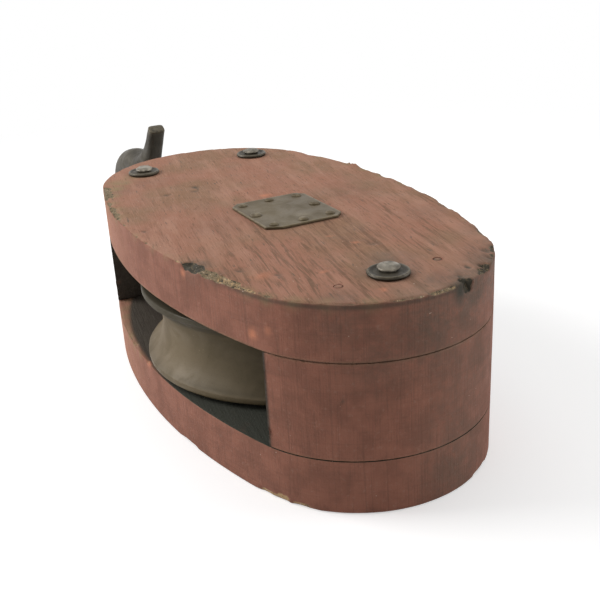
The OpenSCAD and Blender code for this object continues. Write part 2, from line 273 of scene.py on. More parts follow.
def fitted(obj: bpy.types.Object, cutters: Sequence[bpy.types.Object], operation: str = "DIFFERENCE") -> None:
    """Cuts the cutters from obj, or joins them to it, one after another, and removes them.

    Args:
        obj: The piece, whose mesh is changed.
        cutters: Closed objects.
        operation: DIFFERENCE to cut, or UNION to join.
    """
    for cutter in cutters:
        work = obj.modifiers.new("fit", "BOOLEAN")
        work.operation, work.solver, work.object = operation, "MANIFOLD", cutter
        bpy.context.view_layer.update()
        whole = obj.evaluated_get(bpy.context.evaluated_depsgraph_get())
        made = bpy.data.meshes.new_from_object(whole)
        obj.modifiers.remove(work)
        old, obj.data = obj.data, made
        bpy.data.meshes.remove(old)
        bpy.data.objects.remove(cutter)


def loose_object(mesh: bpy.types.Mesh, name: str) -> bpy.types.Object:
    """An object for the mesh, linked to the scene."""
    obj = bpy.data.objects.new(name, mesh)
    bpy.context.scene.collection.objects.link(obj)
    return obj


def bar(name: str, radius: float, start: Sequence[float], end: Sequence[float]) -> bpy.types.Object:
    """A round bar between two points, to cut a hole with."""
    start, end = Vector(start), Vector(end)
    length = (end - start).length
    skin = revolve([(0, 0), (radius, 0), (radius, length), (0, length)], BAR_SIDES, False)
    mesh = skin.mesh(name)
    turn = (end - start).to_track_quat("Z", "Y").to_matrix().to_4x4()
    mesh.transform(Matrix.Translation(start * MM) @ turn)
    return loose_object(mesh, name)


# ---- Finishes ----


class Graph:
    """Builds one material's nodes."""

    def __init__(self, name: str) -> None:
        """Makes an empty material with its Principled shader."""
        self.material = bpy.data.materials.new(name)
        self.material.use_nodes = True
        self.tree = self.material.node_tree
        self.shader = next(n for n in self.tree.nodes if n.type == "BSDF_PRINCIPLED")
        coords = self.tree.nodes.new("ShaderNodeTexCoord")
        self.place = self.node("ShaderNodeVectorMath", operation="SCALE")
        self.tree.links.new(coords.outputs["Object"], self.place.inputs[0])
        self.place.inputs["Scale"].default_value = 1 / MM

    def node(self, kind: str, **settings: object) -> bpy.types.Node:
        """A new node with its properties set."""
        made = self.tree.nodes.new(kind)
        for name, value in settings.items():
            setattr(made, name, value)
        return made

    def put(self, socket: bpy.types.NodeSocket, value: object) -> None:
        """Links value to socket if it is a socket, or writes it there."""
        if isinstance(value, bpy.types.NodeSocket):
            self.tree.links.new(value, socket)
        elif isinstance(value, tuple) and socket.type == "RGBA":
            socket.default_value = (*value, 1)
        else:
            socket.default_value = value

    def math(self, operation: str, a: object, b: object = 0.0) -> bpy.types.NodeSocket:
        """A sum on two values, held to 0 to 1."""
        made = self.node("ShaderNodeMath", operation=operation, use_clamp=True)
        self.put(made.inputs[0], a)
        self.put(made.inputs[1], b)
        return made.outputs[0]

    def times(self, first: object, *others: object) -> object:
        """The product of some values, held to 0 to 1."""
        for other in others:
            first = self.math("MULTIPLY", first, other)
        return first

    def over(self, base: object, colour: object, *shares: object) -> bpy.types.NodeSocket:
        """Colour laid over base as strongly as the product of the shares."""
        return self.blend(self.times(*shares), base, colour)

    def blend(self, share: object, a: object, b: object) -> bpy.types.NodeSocket:
        """Colour a turning into b by share."""
        made = self.node("ShaderNodeMix", data_type="RGBA")
        self.put(made.inputs[0], share)
        self.put(made.inputs[6], a)
        self.put(made.inputs[7], b)
        return made.outputs[2]

    def stretch(self, size: Sequence[float], turn: float = 0.0) -> bpy.types.NodeSocket:
        """Coordinates in which a feature of size millimetres is 1 long, turned turn degrees about Z."""
        turned = self.node("ShaderNodeVectorRotate", rotation_type="Z_AXIS")
        self.tree.links.new(self.place.outputs[0], turned.inputs["Vector"])
        turned.inputs["Angle"].default_value = math.radians(-turn)
        made = self.node("ShaderNodeVectorMath", operation="MULTIPLY")
        self.tree.links.new(turned.outputs[0], made.inputs[0])
        made.inputs[1].default_value = [1 / s for s in size]
        return made.outputs[0]

    def noise(
        self, size: float | Sequence[float], detail: float = 4, rough: float = 0.55,
        bend: float = 0.0, turn: float = 0.0,
    ) -> bpy.types.NodeSocket:
        """Noise with features of size millimetres.

        Args:
            size: Size of a feature, alike in all directions or one number for each axis.
            detail: How many finer layers there are.
            rough: How strong each finer layer is.
            bend: How much the pattern is bent.
            turn: How many degrees the axes of size are turned about Z.

        Returns:
            The noise, 0 to 1.
        """
        sizes = (size,) * 3 if isinstance(size, (int, float)) else size
        made = self.node("ShaderNodeTexNoise")
        self.put(made.inputs["Vector"], self.stretch(sizes, turn))
        self.put(made.inputs["Scale"], 1.0)
        self.put(made.inputs["Detail"], float(detail))
        self.put(made.inputs["Roughness"], rough)
        self.put(made.inputs["Distortion"], bend)
        return made.outputs["Fac"]

    def specks(self, size: float, radius: float) -> bpy.types.NodeSocket:
        """Scattered dots, one in each cell of size millimetres, of radius times the cell."""
        made = self.node("ShaderNodeTexVoronoi")
        self.put(made.inputs["Vector"], self.stretch((size,) * 3))
        self.put(made.inputs["Scale"], 1.0)
        return self.between(made.outputs["Distance"], radius, radius * 0.6)

    def between(self, value: object, low: float, high: float) -> bpy.types.NodeSocket:
        """value as 0 at low and 1 at high, eased."""
        made = self.node("ShaderNodeMapRange", interpolation_type="SMOOTHSTEP")
        self.put(made.inputs["Value"], value)
        made.inputs["From Min"].default_value = min(low, high)
        made.inputs["From Max"].default_value = max(low, high)
        made.inputs["To Min"].default_value = 0 if low < high else 1
        made.inputs["To Max"].default_value = 1 if low < high else 0
        return made.outputs["Result"]

    def mark(self, name: str) -> bpy.types.NodeSocket:
        """A mark that the mesh carries."""
        return self.node("ShaderNodeAttribute", attribute_name=name).outputs["Fac"]

    def finish(
        self, colour: object, roughness: object, height: object, relief: float, **shader: float
    ) -> bpy.types.Material:
        """Wires the shader.

        Args:
            colour: Base colour.
            roughness: Roughness.
            height: Height of the surface, 0 to 1.
            relief: How many millimetres that height stands for.
            shader: Other sockets' constant values by name, with _ for a space.

        Returns:
            The material.
        """
        self.put(self.shader.inputs["Base Color"], colour)
        self.put(self.shader.inputs["Roughness"], roughness)
        bump = self.node("ShaderNodeBump")
        bump.inputs["Distance"].default_value = relief * MM
        self.put(bump.inputs["Height"], height)
        self.tree.links.new(bump.outputs[0], self.shader.inputs["Normal"])
        for name, value in shader.items():
            self.shader.inputs[name.replace("_", " ")].default_value = value
        return self.material


@dataclass(frozen=True)
class PaintedOak:
    """Old red paint on open-grained wood, worn through at the edges."""

    face: Colour = (0.318, 0.150, 0.096)
    face_pale: Colour = (0.400, 0.212, 0.142)
    face_olive: Colour = (0.232, 0.138, 0.078)
    streak: Colour = (0.165, 0.086, 0.050)
    side: Colour = (0.290, 0.118, 0.076)
    side_dull: Colour = (0.232, 0.099, 0.066)
    side_dark: Colour = (0.120, 0.058, 0.040)
    side_pale: Colour = (0.490, 0.245, 0.155)
    undercoat: Colour = (0.560, 0.215, 0.120)
    hollow: Colour = (0.040, 0.034, 0.022)
    weathered: Colour = (0.190, 0.140, 0.080)
    fresh_wood: Colour = (0.600, 0.390, 0.200)
    inner: Colour = (0.050, 0.038, 0.028)
    dirt: Colour = (0.085, 0.072, 0.054)
    # Near-black laid by the grease mark: grease, and a painted shade under the upper cheek's near edge.
    grease_and_shade: Colour = (0.040, 0.041, 0.031)
    chalk: Colour = (0.560, 0.440, 0.340)
    olive: Colour = (0.262, 0.190, 0.100)
    # Grey-brown for the heel's far side: partly dust, partly a painted sheen and painted shade.
    dust_sheen_and_shade: Colour = (0.165, 0.128, 0.098)
    grain_turn: float = -10.0

    def top_paint(self, g: Graph, streaks: object, hairs: object, pores: object) -> bpy.types.NodeSocket:
        """Paint on a cheek's flat face, thin enough for the grain to show.

        Args:
            g: The material's nodes.
            streaks: The grain's long dark streaks.
            hairs: Fine pale lines along the grain.
            pores: Short dark pores along the grain.

        Returns:
            The colour.
        """
        patches = g.noise(26, 3, 0.5)
        bands = g.noise((50, 6.5, 6.5), 3, 0.55, 0.6, self.grain_turn)
        scratches = g.noise((7, 1.0, 1.0), 3, 0.6, 0.3, self.grain_turn)
        open_grain = g.math("ADD", g.times(g.mark("open"), g.between(bands, 0.66, 0.40)), 0.22)
        top = g.over(self.face, self.face_olive, g.between(patches, 0.40, 0.66), 0.75)
        top = g.over(top, self.face_pale, g.between(bands, 0.46, 0.68), 0.60)
        top = g.over(top, self.streak, g.between(streaks, 0.54, 0.36), open_grain)
        top = g.over(top, self.face_pale, g.between(g.noise(1.6, 4, 0.65), 0.55, 0.75), 0.35)
        top = g.over(top, self.dirt, g.between(scratches, 0.64, 0.70), 0.7)
        top = g.over(top, self.face_pale, g.between(hairs, 0.53, 0.70), 0.55)
        return g.over(top, self.streak, g.between(pores, 0.40, 0.31), 0.75)

    def side_paint(self, g: Graph, lines: object, courses: object, mottle: object) -> bpy.types.NodeSocket:
        """Paint on the sides, with fine upright lines and fainter level ones.

        Args:
            g: The material's nodes.
            lines: The upright lines.
            courses: The level lines.
            mottle: Soft unevenness.

        Returns:
            The colour.
        """
        faded_and_lit = g.between(g.blend(0.5, mottle, g.noise(1.8, 4, 0.6)), 0.30, 0.66)
        side = g.over(self.side, self.side_dull, g.between(mottle, 0.36, 0.64))
        side = g.over(side, self.side_dark, g.between(lines, 0.50, 0.32), 0.34)
        side = g.over(side, self.side_dark, g.between(courses, 0.50, 0.30), 0.16)
        # Pale paint on the crown end of the near side: partly weathering, partly a painted highlight where
        # the key light falls.
        side = g.over(side, self.side_pale, g.mark("faded_and_lit"), faded_and_lit)
        return g.over(side, self.chalk, g.between(g.noise(1.3, 3, 0.6), 0.56, 0.76), 0.10)

    def stained_and_shaded(self, g: Graph, colour: object, streaks: object, mottle: object, grit: object) -> object:
        """The paint with its rubbed spots and dirt, grease and dust mixed with painted shade and sheen, and
        the bare wood in the mortise.

        Args:
            g: The material's nodes.
            colour: The clean paint.
            streaks: The grain's long dark streaks.
            mottle: Soft unevenness.
            grit: Fine unevenness.

        Returns:
            The colour.
        """
        clouds = g.blend(0.5, g.noise(3.2, 4, 0.65), streaks)
        dust_sheen_patches = g.blend(0.5, mottle, g.noise(1.5, 4, 0.65))
        colour = g.over(colour, self.undercoat, g.mark("rubbed"), g.between(mottle, 0.32, 0.50))
        colour = g.over(colour, self.dirt, g.mark("dirt"), g.between(clouds, 0.28, 0.62))
        edges = g.blend(0.4, mottle, grit)
        colour = g.over(colour, self.olive, g.mark("olive"), g.between(edges, 0.30, 0.62))
        # Greyer and darker at the heel's far side: partly dust, partly a painted sheen and painted shade.
        colour = g.over(colour, self.dust_sheen_and_shade, g.mark("dust_sheen_and_shade"), g.between(dust_sheen_patches, 0.28, 0.66))
        inner = g.over(g.blend(0.5, self.inner, self.dirt), self.inner, g.between(streaks, 0.36, 0.60))
        colour = g.over(colour, inner, g.mark("inner"))
        # Near-black where the grease mark is: grease, and a painted shade line under the upper cheek's near
        # edge.
        return g.over(colour, self.grease_and_shade, g.mark("grease_and_shade"), g.between(mottle, 0.16, 0.44))

    def broken_wood(self, g: Graph, grit: object) -> bpy.types.NodeSocket:
        """Wood where an edge has broken away: dark and old, or pale and new, with crumbs.

        Args:
            g: The material's nodes.
            grit: Fine unevenness.

        Returns:
            The colour.
        """
        fresh = g.math("ADD", g.mark("fresh"), g.times(g.between(grit, 0.46, 0.66), 0.34))
        crumbs = g.noise((1.8, 1.1, 1.1), 2, 0.6)
        wood = g.over(self.hollow, self.weathered, g.between(fresh, 0.14, 0.52))
        wood = g.over(wood, self.fresh_wood, g.between(fresh, 0.62, 1.20))
        wood = g.over(wood, self.hollow, g.between(crumbs, 0.46, 0.36), 0.9)
        return g.over(wood, self.chalk, g.between(crumbs, 0.60, 0.70), g.mark("fresh"))

    def build(self) -> bpy.types.Material:
        """Makes the material."""
        g = Graph("old_red_paint")
        streaks = g.noise((24, 1.7, 1.7), 5, 0.66, 0.9, self.grain_turn)
        hairs = g.noise((10, 0.45, 0.45), 3, 0.6, 0.2, self.grain_turn)
        pores = g.noise((5.5, 0.6, 0.6), 2, 0.7, 0.2, self.grain_turn)
        lines, courses = g.noise((0.5, 0.5, 24), 4, 0.6), g.noise((16, 16, 0.7), 3, 0.6)
        mottle, grit = g.noise(8.0, 5, 0.6), g.noise(0.75, 3, 0.6)
        face = g.mark("face")
        top, side = self.top_paint(g, streaks, hairs, pores), self.side_paint(g, lines, courses, mottle)
        colour = self.stained_and_shaded(g, g.blend(face, side, top), streaks, mottle, grit)
        broken = g.math("ADD", g.mark("bare"), g.times(g.math("SUBTRACT", grit, 0.5), 0.8))
        broken = g.between(broken, 0.22, 0.62)
        colour = g.blend(broken, colour, self.broken_wood(g, grit))
        colour = g.over(colour, self.chalk, g.between(g.noise(1.2, 1, 0.5), 0.80, 0.82), 0.6)
        grain = g.blend(face, g.blend(0.4, lines, courses), g.blend(0.5, streaks, g.blend(0.5, hairs, pores)))
        splinters = g.noise((2.4, 0.8, 0.8), 4, 0.7)
        height = g.blend(g.times(broken, 0.7), g.blend(0.30, grain, grit), splinters)
        rough = g.blend(g.between(mottle, 0.3, 0.7), (0.68,) * 3, (0.86,) * 3)
        return g.finish(colour, rough, height, 0.50, Specular_IOR_Level=0.28)


@dataclass(frozen=True)
class OldMetal:
    """A worn metal with a darker skin, brighter edges and fine pitting."""

    name: str
    metal: Colour
    skin: Colour
    bright: Colour
    metallic: float
    roughness: float
    patch: float = 9.0
    pit: float = 0.5
    relief: float = 0.05
    skin_share: float = 0.6
    gloss: float = 0.30

    def build(self) -> bpy.types.Material:
        """Makes the material."""
        g = Graph(self.name)
        patches = g.noise(self.patch, 5, 0.6, 0.4)
        pits = g.noise(self.pit, 4, 0.65)
        cloud = g.noise(self.patch * 2.7, 2, 0.5)
        colour = g.over(self.metal, self.skin, g.between(patches, 0.38, 0.64), self.skin_share)
        colour = g.over(colour, self.bright, g.between(cloud, 0.45, 0.7), 0.35)
        colour = g.over(colour, self.skin, g.between(pits, 0.42, 0.30), 0.6)
        # Bright metal where the worn mark is: wear, and on the sheave's groove a painted highlight.
        worn = g.times(g.mark("worn"), g.between(g.noise(1.6, 3, 0.6), 0.28, 0.55))
        colour = g.over(colour, self.bright, worn)
        # Darkest tone, laid by the stained mark; on the sheave it is a painted shade.
        grime_and_shade = (0.30 * self.skin[0], 0.34 * self.skin[1], 0.32 * self.skin[2])
        colour = g.over(colour, grime_and_shade, g.mark("stained_and_shaded"))
        colour = g.over(colour, self.bright, g.specks(4.0, 0.07), g.between(cloud, 0.42, 0.6), 0.6)
        low, high = self.roughness - 0.08, self.roughness + 0.12
        rough = g.blend(g.between(patches, 0.35, 0.65), (low,) * 3, (high,) * 3)
        rough = g.over(rough, (low - 0.08,) * 3, worn, 0.6)
        height = g.blend(0.5, pits, patches)
        return g.finish(
            colour, rough, height, self.relief, Metallic=self.metallic, Specular_IOR_Level=self.gloss
        )


BRONZE = OldMetal(
    "aged_bronze", (0.138, 0.098, 0.051), (0.094, 0.070, 0.038), (0.225, 0.170, 0.096),
    metallic=0.12, roughness=0.60, patch=14.0,
)
IRON = OldMetal(
    "black_iron", (0.036, 0.029, 0.018), (0.024, 0.020, 0.013), (0.110, 0.092, 0.060),
    metallic=0.25, roughness=0.50, patch=6.0, pit=0.6, relief=0.09,
)
HEAD_IRON = OldMetal(
    "worn_iron", (0.125, 0.108, 0.082), (0.055, 0.048, 0.037), (0.36, 0.32, 0.255),
    metallic=0.35, roughness=0.44, patch=2.4, pit=0.4, relief=0.08,
)
PLATE = OldMetal(
    "dull_plate", (0.097, 0.071, 0.036), (0.071, 0.053, 0.028), (0.215, 0.172, 0.104),
    metallic=0.12, roughness=0.50, patch=11.0, pit=0.5, relief=0.05,
)
BUSH = OldMetal(
    "worn_bush_bronze", (0.36, 0.26, 0.13), (0.16, 0.115, 0.06), (0.56, 0.43, 0.24),
    metallic=0.85, roughness=0.34, patch=5.0, pit=0.4, relief=0.03,
)
PIN = OldMetal(
    "turned_steel", (0.30, 0.285, 0.26), (0.12, 0.105, 0.09), (0.55, 0.53, 0.50),
    metallic=0.90, roughness=0.30, patch=4.0, pit=0.3, relief=0.03,
)


# ---- Pieces ----


@dataclass
class Workshop:
    """Keeps the finishes that have been made, and hands finished pieces to their bodies."""

    made: dict[object, bpy.types.Material] = field(default_factory=dict)

    def dress(self, obj: bpy.types.Object, finish: object) -> None:
        """Gives obj the finish, made once and shared."""
        if finish not in self.made:
            self.made[finish] = finish.build()
        obj.data.materials.clear()
        obj.data.materials.append(self.made[finish])

    def place(
        self, obj: bpy.types.Object, finish: object, body: Body, slot: Slot, *nodes: str, crease: float = 40
    ) -> None:
        """Dresses a new piece, which rides on its body and stands for CAD nodes.

        Args:
            obj: The piece, already in place.
            finish: Its finish.
            body: The body that it moves with.
            slot: The record's slot for its finish. Not used.
            nodes: The CAD nodes that it stands for.
            crease: Angle in degrees past which an edge looks sharp.
        """
        smooth_shaded(obj.data, crease)
        self.dress(obj, finish)
        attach(obj, body.value)
        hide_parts(*nodes)
        LOG.info("%s: %d points, %d faces", obj.name, len(obj.data.vertices), len(obj.data.polygons))

    def keep(self, node: str, finish: object, edge: float) -> None:
        """Dresses a CAD node that stays, and softens its edges.

        Args:
            node: The CAD node's name.
            finish: Its finish.
            edge: Width of the softened edges.
        """
        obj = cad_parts[node]
        self.dress(obj, finish)
        soft = obj.modifiers.new("soft_edges", "BEVEL")
        soft.width, soft.segments = edge * MM, 2
        soft.limit_method, soft.angle_limit = "ANGLE", math.radians(40)
        LOG.info("%s: kept from the frame", node)


@dataclass(frozen=True)
class Chip:
    """A place where an edge has broken away.

    It lies round (x, y), runs reach along the edge each way, is width across on the face and
    depth on the side, and fresh runs from 0, old and dark, to 1, new and pale.
    """

    x: float
    y: float
    reach: float
    width: float
    depth: float
    fresh: float

    @classmethod
    def rows(cls, *rows: tuple[float, ...]) -> tuple["Chip", ...]:
        """Several chips from rows of their fields."""
        return tuple(cls(*row) for row in rows)


@dataclass(frozen=True)
class Spot:
    """A mark round a point, with its strength at the middle, that fades to nothing at radius."""

    x: float
    y: float
    z: float
    radius: float
    strength: float = 1.0

    @classmethod
    def rows(cls, *rows: tuple[float, ...]) -> tuple["Spot", ...]:
        """Several spots from rows of their fields."""
        return tuple(cls(*row) for row in rows)


@dataclass
class Rim:
    """One edge of a board: its rounding, the small nicks all along it, and its chips."""

    radius: float = 0.5
    nicks: float = 0.35
    chips: Sequence[Chip] = ()
    fine: float = 0.55


@dataclass
class Board:
    """A piece with a plan outline, two flat faces and a dense skin that can be worn.

    The spine is the line, from one X to another, that the faces' rings close on.
    """

    outline: np.ndarray
    spine: tuple[float, float]
    low: float
    high: float
    low_rim: Rim
    high_rim: Rim
    face_step: float = 2.2
    wall_step: float = 1.3
    band: float = 9.0
    seed: int = 1

    def rings(self) -> list[tuple[float, float, float]]:
        """Rings from the lower face's middle to the upper one's.

        Returns:
            Each ring as its inset, its share of the way on to the spine, and its z.
        """
        span = max(abs(self.outline[:, 1]).max() - self.band, 4)
        inner = np.linspace(1, 0, max(3, round(span / self.face_step)))
        low, high = self.low_rim, self.high_rim
        rings = [(self.band, t, self.low) for t in inner]
        rings += [(d, 0.0, self.low) for d in ladder(self.band, low.radius, low.fine)[1:]]
        bend = np.linspace(0, math.pi / 2, 4)
        turns = [(1 - math.sin(a), 1 - math.cos(a)) for a in bend[1:]]
        rings += [(low.radius * side, 0.0, self.low + low.radius * rise) for side, rise in turns]
        start, end = self.low + low.radius, self.high - high.radius
        near = min(4.0, (end - start) / 3)
        wall = [ladder(start, start + near, low.fine)[1:]]
        wall.append(ladder(start + near, end - near, self.wall_step)[1:])
        rings += [(0.0, 0.0, z) for z in np.concatenate([*wall, ladder(end - near, end, high.fine)[1:]])]
        rings += [(high.radius * rise, 0.0, self.high - high.radius * side) for side, rise in turns]
        rings += [(d, 0.0, self.high) for d in ladder(high.radius, self.band, high.fine)[1:]]
        return rings + [(self.band, t, self.high) for t in inner[::-1][1:]]

    def build(self) -> Skin:
        """Makes the skin, with its rims worn and chipped, and its marks."""
        count = len(self.outline)
        rings = self.rings()
        spine_x = np.clip(self.outline[:, 0], *sorted(self.spine))
        inward = np.column_stack([spine_x, np.zeros(count)]) - self.outline
        reach = np.linalg.norm(inward, axis=1)
        inward = inward / reach[:, None]
        points, inset = [], []
        for d, share, z in rings:
            run = np.minimum(d + (reach - d) * share, reach)
            points.append(np.column_stack([self.outline + inward * run[:, None], np.full(count, z)]))
            inset.append(run)
        points, inset = np.vstack(points), np.concatenate(inset)
        skin = Skin(points, ring_faces(len(rings), count))
        inward = np.tile(inward, (len(rings), 1))
        edge = np.tile(self.outline, (len(rings), 1))
        bare, fresh = np.zeros(len(points)), np.zeros(len(points))
        drops = points[:, 2] - self.low, self.high - points[:, 2]
        for rim, drop, way in ((self.low_rim, drops[0], 1), (self.high_rim, drops[1], -1)):
            cut, rim_fresh = self.worn(rim, edge, inset, np.maximum(drop, 0), points)
            skin.points = skin.points + np.column_stack([inward * cut[:, None], way * cut])
            bare = np.maximum(bare, ease((cut - 0.12) / 0.5))
            fresh = np.where(cut > 0.05, rim_fresh, fresh)
        flat = np.minimum(*drops)
        skin.marks = {"bare": bare, "fresh": fresh, "face": ease((0.35 - flat) / 0.3)}
        return skin

    def worn(
        self, rim: Rim, edge: np.ndarray, inset: np.ndarray, drop: np.ndarray, points: np.ndarray
    ) -> tuple[np.ndarray, np.ndarray]:
        """How far each point is cut back at one rim, and how fresh the wood is there.

        Args:
            rim: The rim's wear.
            edge: Each point's place on the outline.
            inset: Each point's distance in from the outline.
            drop: Each point's distance from the rim's face.
            points: The points themselves, for the texture of the break.

        Returns:
            The cut in millimetres, and 0 to 1 for how fresh it is.
        """
        along = np.column_stack([edge, np.full(len(edge), self.seed * 31.0)])
        jag = layered_noise(along, (3.4, 3.4, 3.4), self.seed, 3)
        width = rim.nicks * (0.75 + 1.3 * np.clip(jag, -0.5, 1))
        depth = width * 0.8
        fresh = np.full(len(edge), 0.35)
        ragged = layered_noise(points, (3.6, 1.8, 1.8), self.seed + 5, 2)
        for i, chip in enumerate(rim.chips):
            away = np.hypot(edge[:, 0] - chip.x, edge[:, 1] - chip.y) / chip.reach
            rough = 1 + 0.55 * layered_noise(along, (3.2, 3.2, 3.2), self.seed + 40 + i, 3)
            here = ease((1 - away) * 1.9) * rough
            grown = chip.width * here > width
            fresh = np.where(grown, chip.fresh, fresh)
            width = np.maximum(width, chip.width * here)
            depth = np.maximum(depth, chip.depth * here)
        width, depth = np.maximum(width, 0.02), np.maximum(depth, 0.02)
        open_share = 1 - inset / width - drop / depth
        cut = np.clip(open_share, 0, 1) / (1 / width + 1 / depth)
        wide = ease((width - 1.6) / 0.8)
        cut = cut * (1 + 0.6 * ragged) + 0.30 * np.clip(open_share * 3, 0, 1) * ragged * wide
        return np.maximum(cut, 0), fresh


def spotted(points: np.ndarray, spots: Sequence[Spot], scale: Sequence[float] = (1, 1, 1)) -> np.ndarray:
    """How strongly the spots mark each point, 0 to 1, with distances scaled along each axis."""
    total = np.zeros(len(points))
    for s in spots:
        away = np.linalg.norm((points - np.array([s.x, s.y, s.z])) * scale, axis=1) / s.radius
        total = np.maximum(total, s.strength * ease(1 - away))
    return total


@dataclass
class Shell:
    """The wooden shell: two cheeks held apart by a crown filler and a heel filler."""

    crown_radius: float = 48.0
    heel_radius: float = 44.0
    rivet_hole: float = 2.55
    nail_hole: float = 1.05
    plug_hole: float = 1.45
    plug_depth: float = 0.9
    strap_gap: float = 0.3
    strap_eye: float = 2.0
    pocket_radius: float = 11.5
    spacing: float = 0.62
    high_chips: Sequence[Chip] = Chip.rows(
        (33, -51, 6.5, 4.2, 1.9, 0.02), (41, -50, 7.0, 4.6, 1.8, 0.50), (50, -47, 9.0, 3.8, 1.3, 0.70),
        (59, -43, 7.0, 1.7, 0.9, 0.75), (24, -53, 5.0, 1.4, 0.7, 0.85), (3, -54, 3.4, 1.7, 0.8, 0.40),
        (-5, -54, 3.6, 1.5, 0.8, 0.40), (-66, -46, 14.0, 5.0, 1.0, 0.42),
        (-43, -52, 15.0, 3.6, 0.9, 0.50), (-26, -54, 9.0, 2.4, 0.7, 0.50),
        (89, 13, 3.0, 3.0, 3.6, 0.00), (85, 23, 6.0, 3.4, 1.4, 0.18), (74, 35, 7.0, 3.2, 1.0, 0.18),
        (60, 42, 9.0, 1.6, 0.9, 0.30), (91, 4, 7.0, 1.7, 1.0, 0.60), (91, -8, 8.0, 1.3, 0.8, 0.60),
        (-19, 54, 5.0, 1.3, 0.9, 0.10), (-42, 54, 3.0, 1.2, 0.9, 0.30), (6, 53, 6.0, 1.3, 0.8, 0.20),
        (26, 51, 9.0, 1.3, 0.9, 0.20), (-70, 47, 8.0, 1.5, 0.7, 0.80), (44, 49, 9.0, 1.0, 0.6, 0.35),
        (-2, 54, 9.0, 1.0, 0.6, 0.45), (-30, 54, 7.0, 1.0, 0.6, 0.45), (68, -41, 9.0, 1.1, 0.6, 0.55),
        (76, -33, 7.0, 1.0, 0.6, 0.40), (83, -24, 7.0, 1.0, 0.6, 0.35), (-8, -54, 12.0, 0.9, 0.6, 0.35),
        (12, -54, 10.0, 0.9, 0.6, 0.50),
    )
    low_chips: Sequence[Chip] = Chip.rows(
        (65, -41, 9.0, 0.7, 3.2, 1.4), (74, -35, 6.0, 0.6, 2.2, 1.4), (20, -53, 8.0, 0.9, 0.8, 0.4),
        (88, 24, 8.0, 1.2, 1.0, 0.3), (-70, 44, 9.0, 1.3, 1.0, 0.4),
    )
    seat_chips: Sequence[Chip] = Chip.rows(
        (-11, -54, 3.0, 1.5, 0.9, 0.95), (-38, -53, 16.0, 1.5, 0.5, 0.62),
        (-62, -47, 14.0, 1.2, 0.5, 0.55),
    )
    splinter: Spot = Spot(-42.0, 53.6, 69, 2.6)
    olive: Sequence[Spot] = Spot.rows(
        (-84, -30, 69, 8, 0.95), (-78, -38, 69, 8, 0.95), (-70, -43, 69, 7, 0.95),
        (-61, -47, 69, 7, 0.80), (-51, -50, 69, 7, 0.65), (-42, -51, 69, 6, 0.65),
        (-32, -53, 69, 5, 0.65), (-8, -54, 69, 4, 0.50), (8, -54, 69, 4, 0.50), (18, -53, 69, 4, 0.65),
        (60, -43, 69, 5, 0.75), (67, -40, 69, 5, 0.85), (74, -35, 69, 5, 0.75), (81, -27, 69, 5, 0.60),
        (87, -17, 69, 5, 0.60), (-45, 52, 69, 4, 0.80), (-33, 53, 69, 4, 0.80), (-20, 54, 69, 5, 0.90),
        (-6, 54, 69, 4, 0.80), (6, 54, 69, 4, 0.80), (18, 53, 69, 4, 0.80), (32, 51, 69, 4, 0.80),
        (46, 48, 69, 5, 0.80), (60, 43, 69, 5, 0.80), (-62, 47, 69, 4, 0.60), (-86, -20, 32, 8, 0.85),
        (-82, -29, 26, 9, 0.85), (-84, -26, 42, 8, 0.70), (-74, -41, 18, 5, 0.75),
        (-66, -45, 18, 5, 0.85), (-57, -48, 18, 5, 0.90), (-48, -50, 18, 5, 0.90),
        (-39, -52, 18, 5, 0.90), (-30, -53, 18, 5, 0.80), (-21, -54, 18, 4, 0.60),
    )
    pits: Sequence[Spot] = Spot.rows(
        (-48.4, -28.4, 69, 1.6, 0.7), (-52.2, -15.1, 69, 2.0, 0.8), (-44.8, -7.7, 69, 1.4, 0.6),
        (-46.5, -17.0, 69, 1.5, 0.6), (44.0, -37.6, 69, 1.8, 0.7), (53.8, -29.0, 69, 1.6, 0.7),
        (47.1, 8.3, 69, 1.7, 0.8), (72.0, 33.0, 69, 2.4, 0.9), (78.0, 30.5, 69, 2.2, 0.9),
        (82.1, 24.2, 69, 2.2, 0.8), (80.5, 20.0, 69, 1.8, 0.8), (85.5, 14.0, 69, 2.0, 0.8),
        (56.0, -43.5, 69, 1.6, 0.7), (-10.0, -50.0, 69, 1.2, 0.6), (83.7, -25.5, 39, 1.2, 0.6),
    )
    dirt: Sequence[Spot] = Spot.rows(
        (90, 16, 66, 20, 0.85), (82, 30, 67, 18, 0.85), (72, 40, 66, 17, 0.75), (58, 46, 66, 15, 0.60),
        (92, 0, 60, 24, 0.62), (89, 24, 40, 26, 0.35), (90, 10, 10, 24, 0.35), (88, -14, 52, 20, 0.42),
        (84, -24, 64, 16, 0.40), (-66, -44, 69, 13, 0.40), (-70, -28, 69, 16, 0.25),
        (0, 0, 69, 26, 0.30), (0, -26, 69, 16, 0.22), (70, 0, 69, 15, 0.75), (63, 4, 69, 13, 0.65),
        (80, -22, 69, 12, 0.50), (84, 6, 69, 14, 0.55), (30, 40, 69, 14, 0.30), (-10, 30, 69, 20, 0.25),
        (-86, -24, 69, 10, 0.40), (-86, 24, 69, 10, 0.35), (33, -47, 68, 8, 0.65),
        (44, -45, 69, 7, 0.40),
    )
    rubbed: Sequence[Spot] = Spot.rows(
        (61, -42, 55, 3.0), (67, -40, 58, 2.2, 0.6), (29, -51, 66, 2.4), (33, 0, 69, 1.7),
        (60, -17, 69, 1.8), (82, -10, 69, 2.4, 0.8), (43, 4, 69, 2.0, 0.7), (-24, 3, 69, 3.2, 0.8),
        (52, -34, 69, 5.0, 0.5), (-11, -54, 18, 3.0, 0.9),
    )

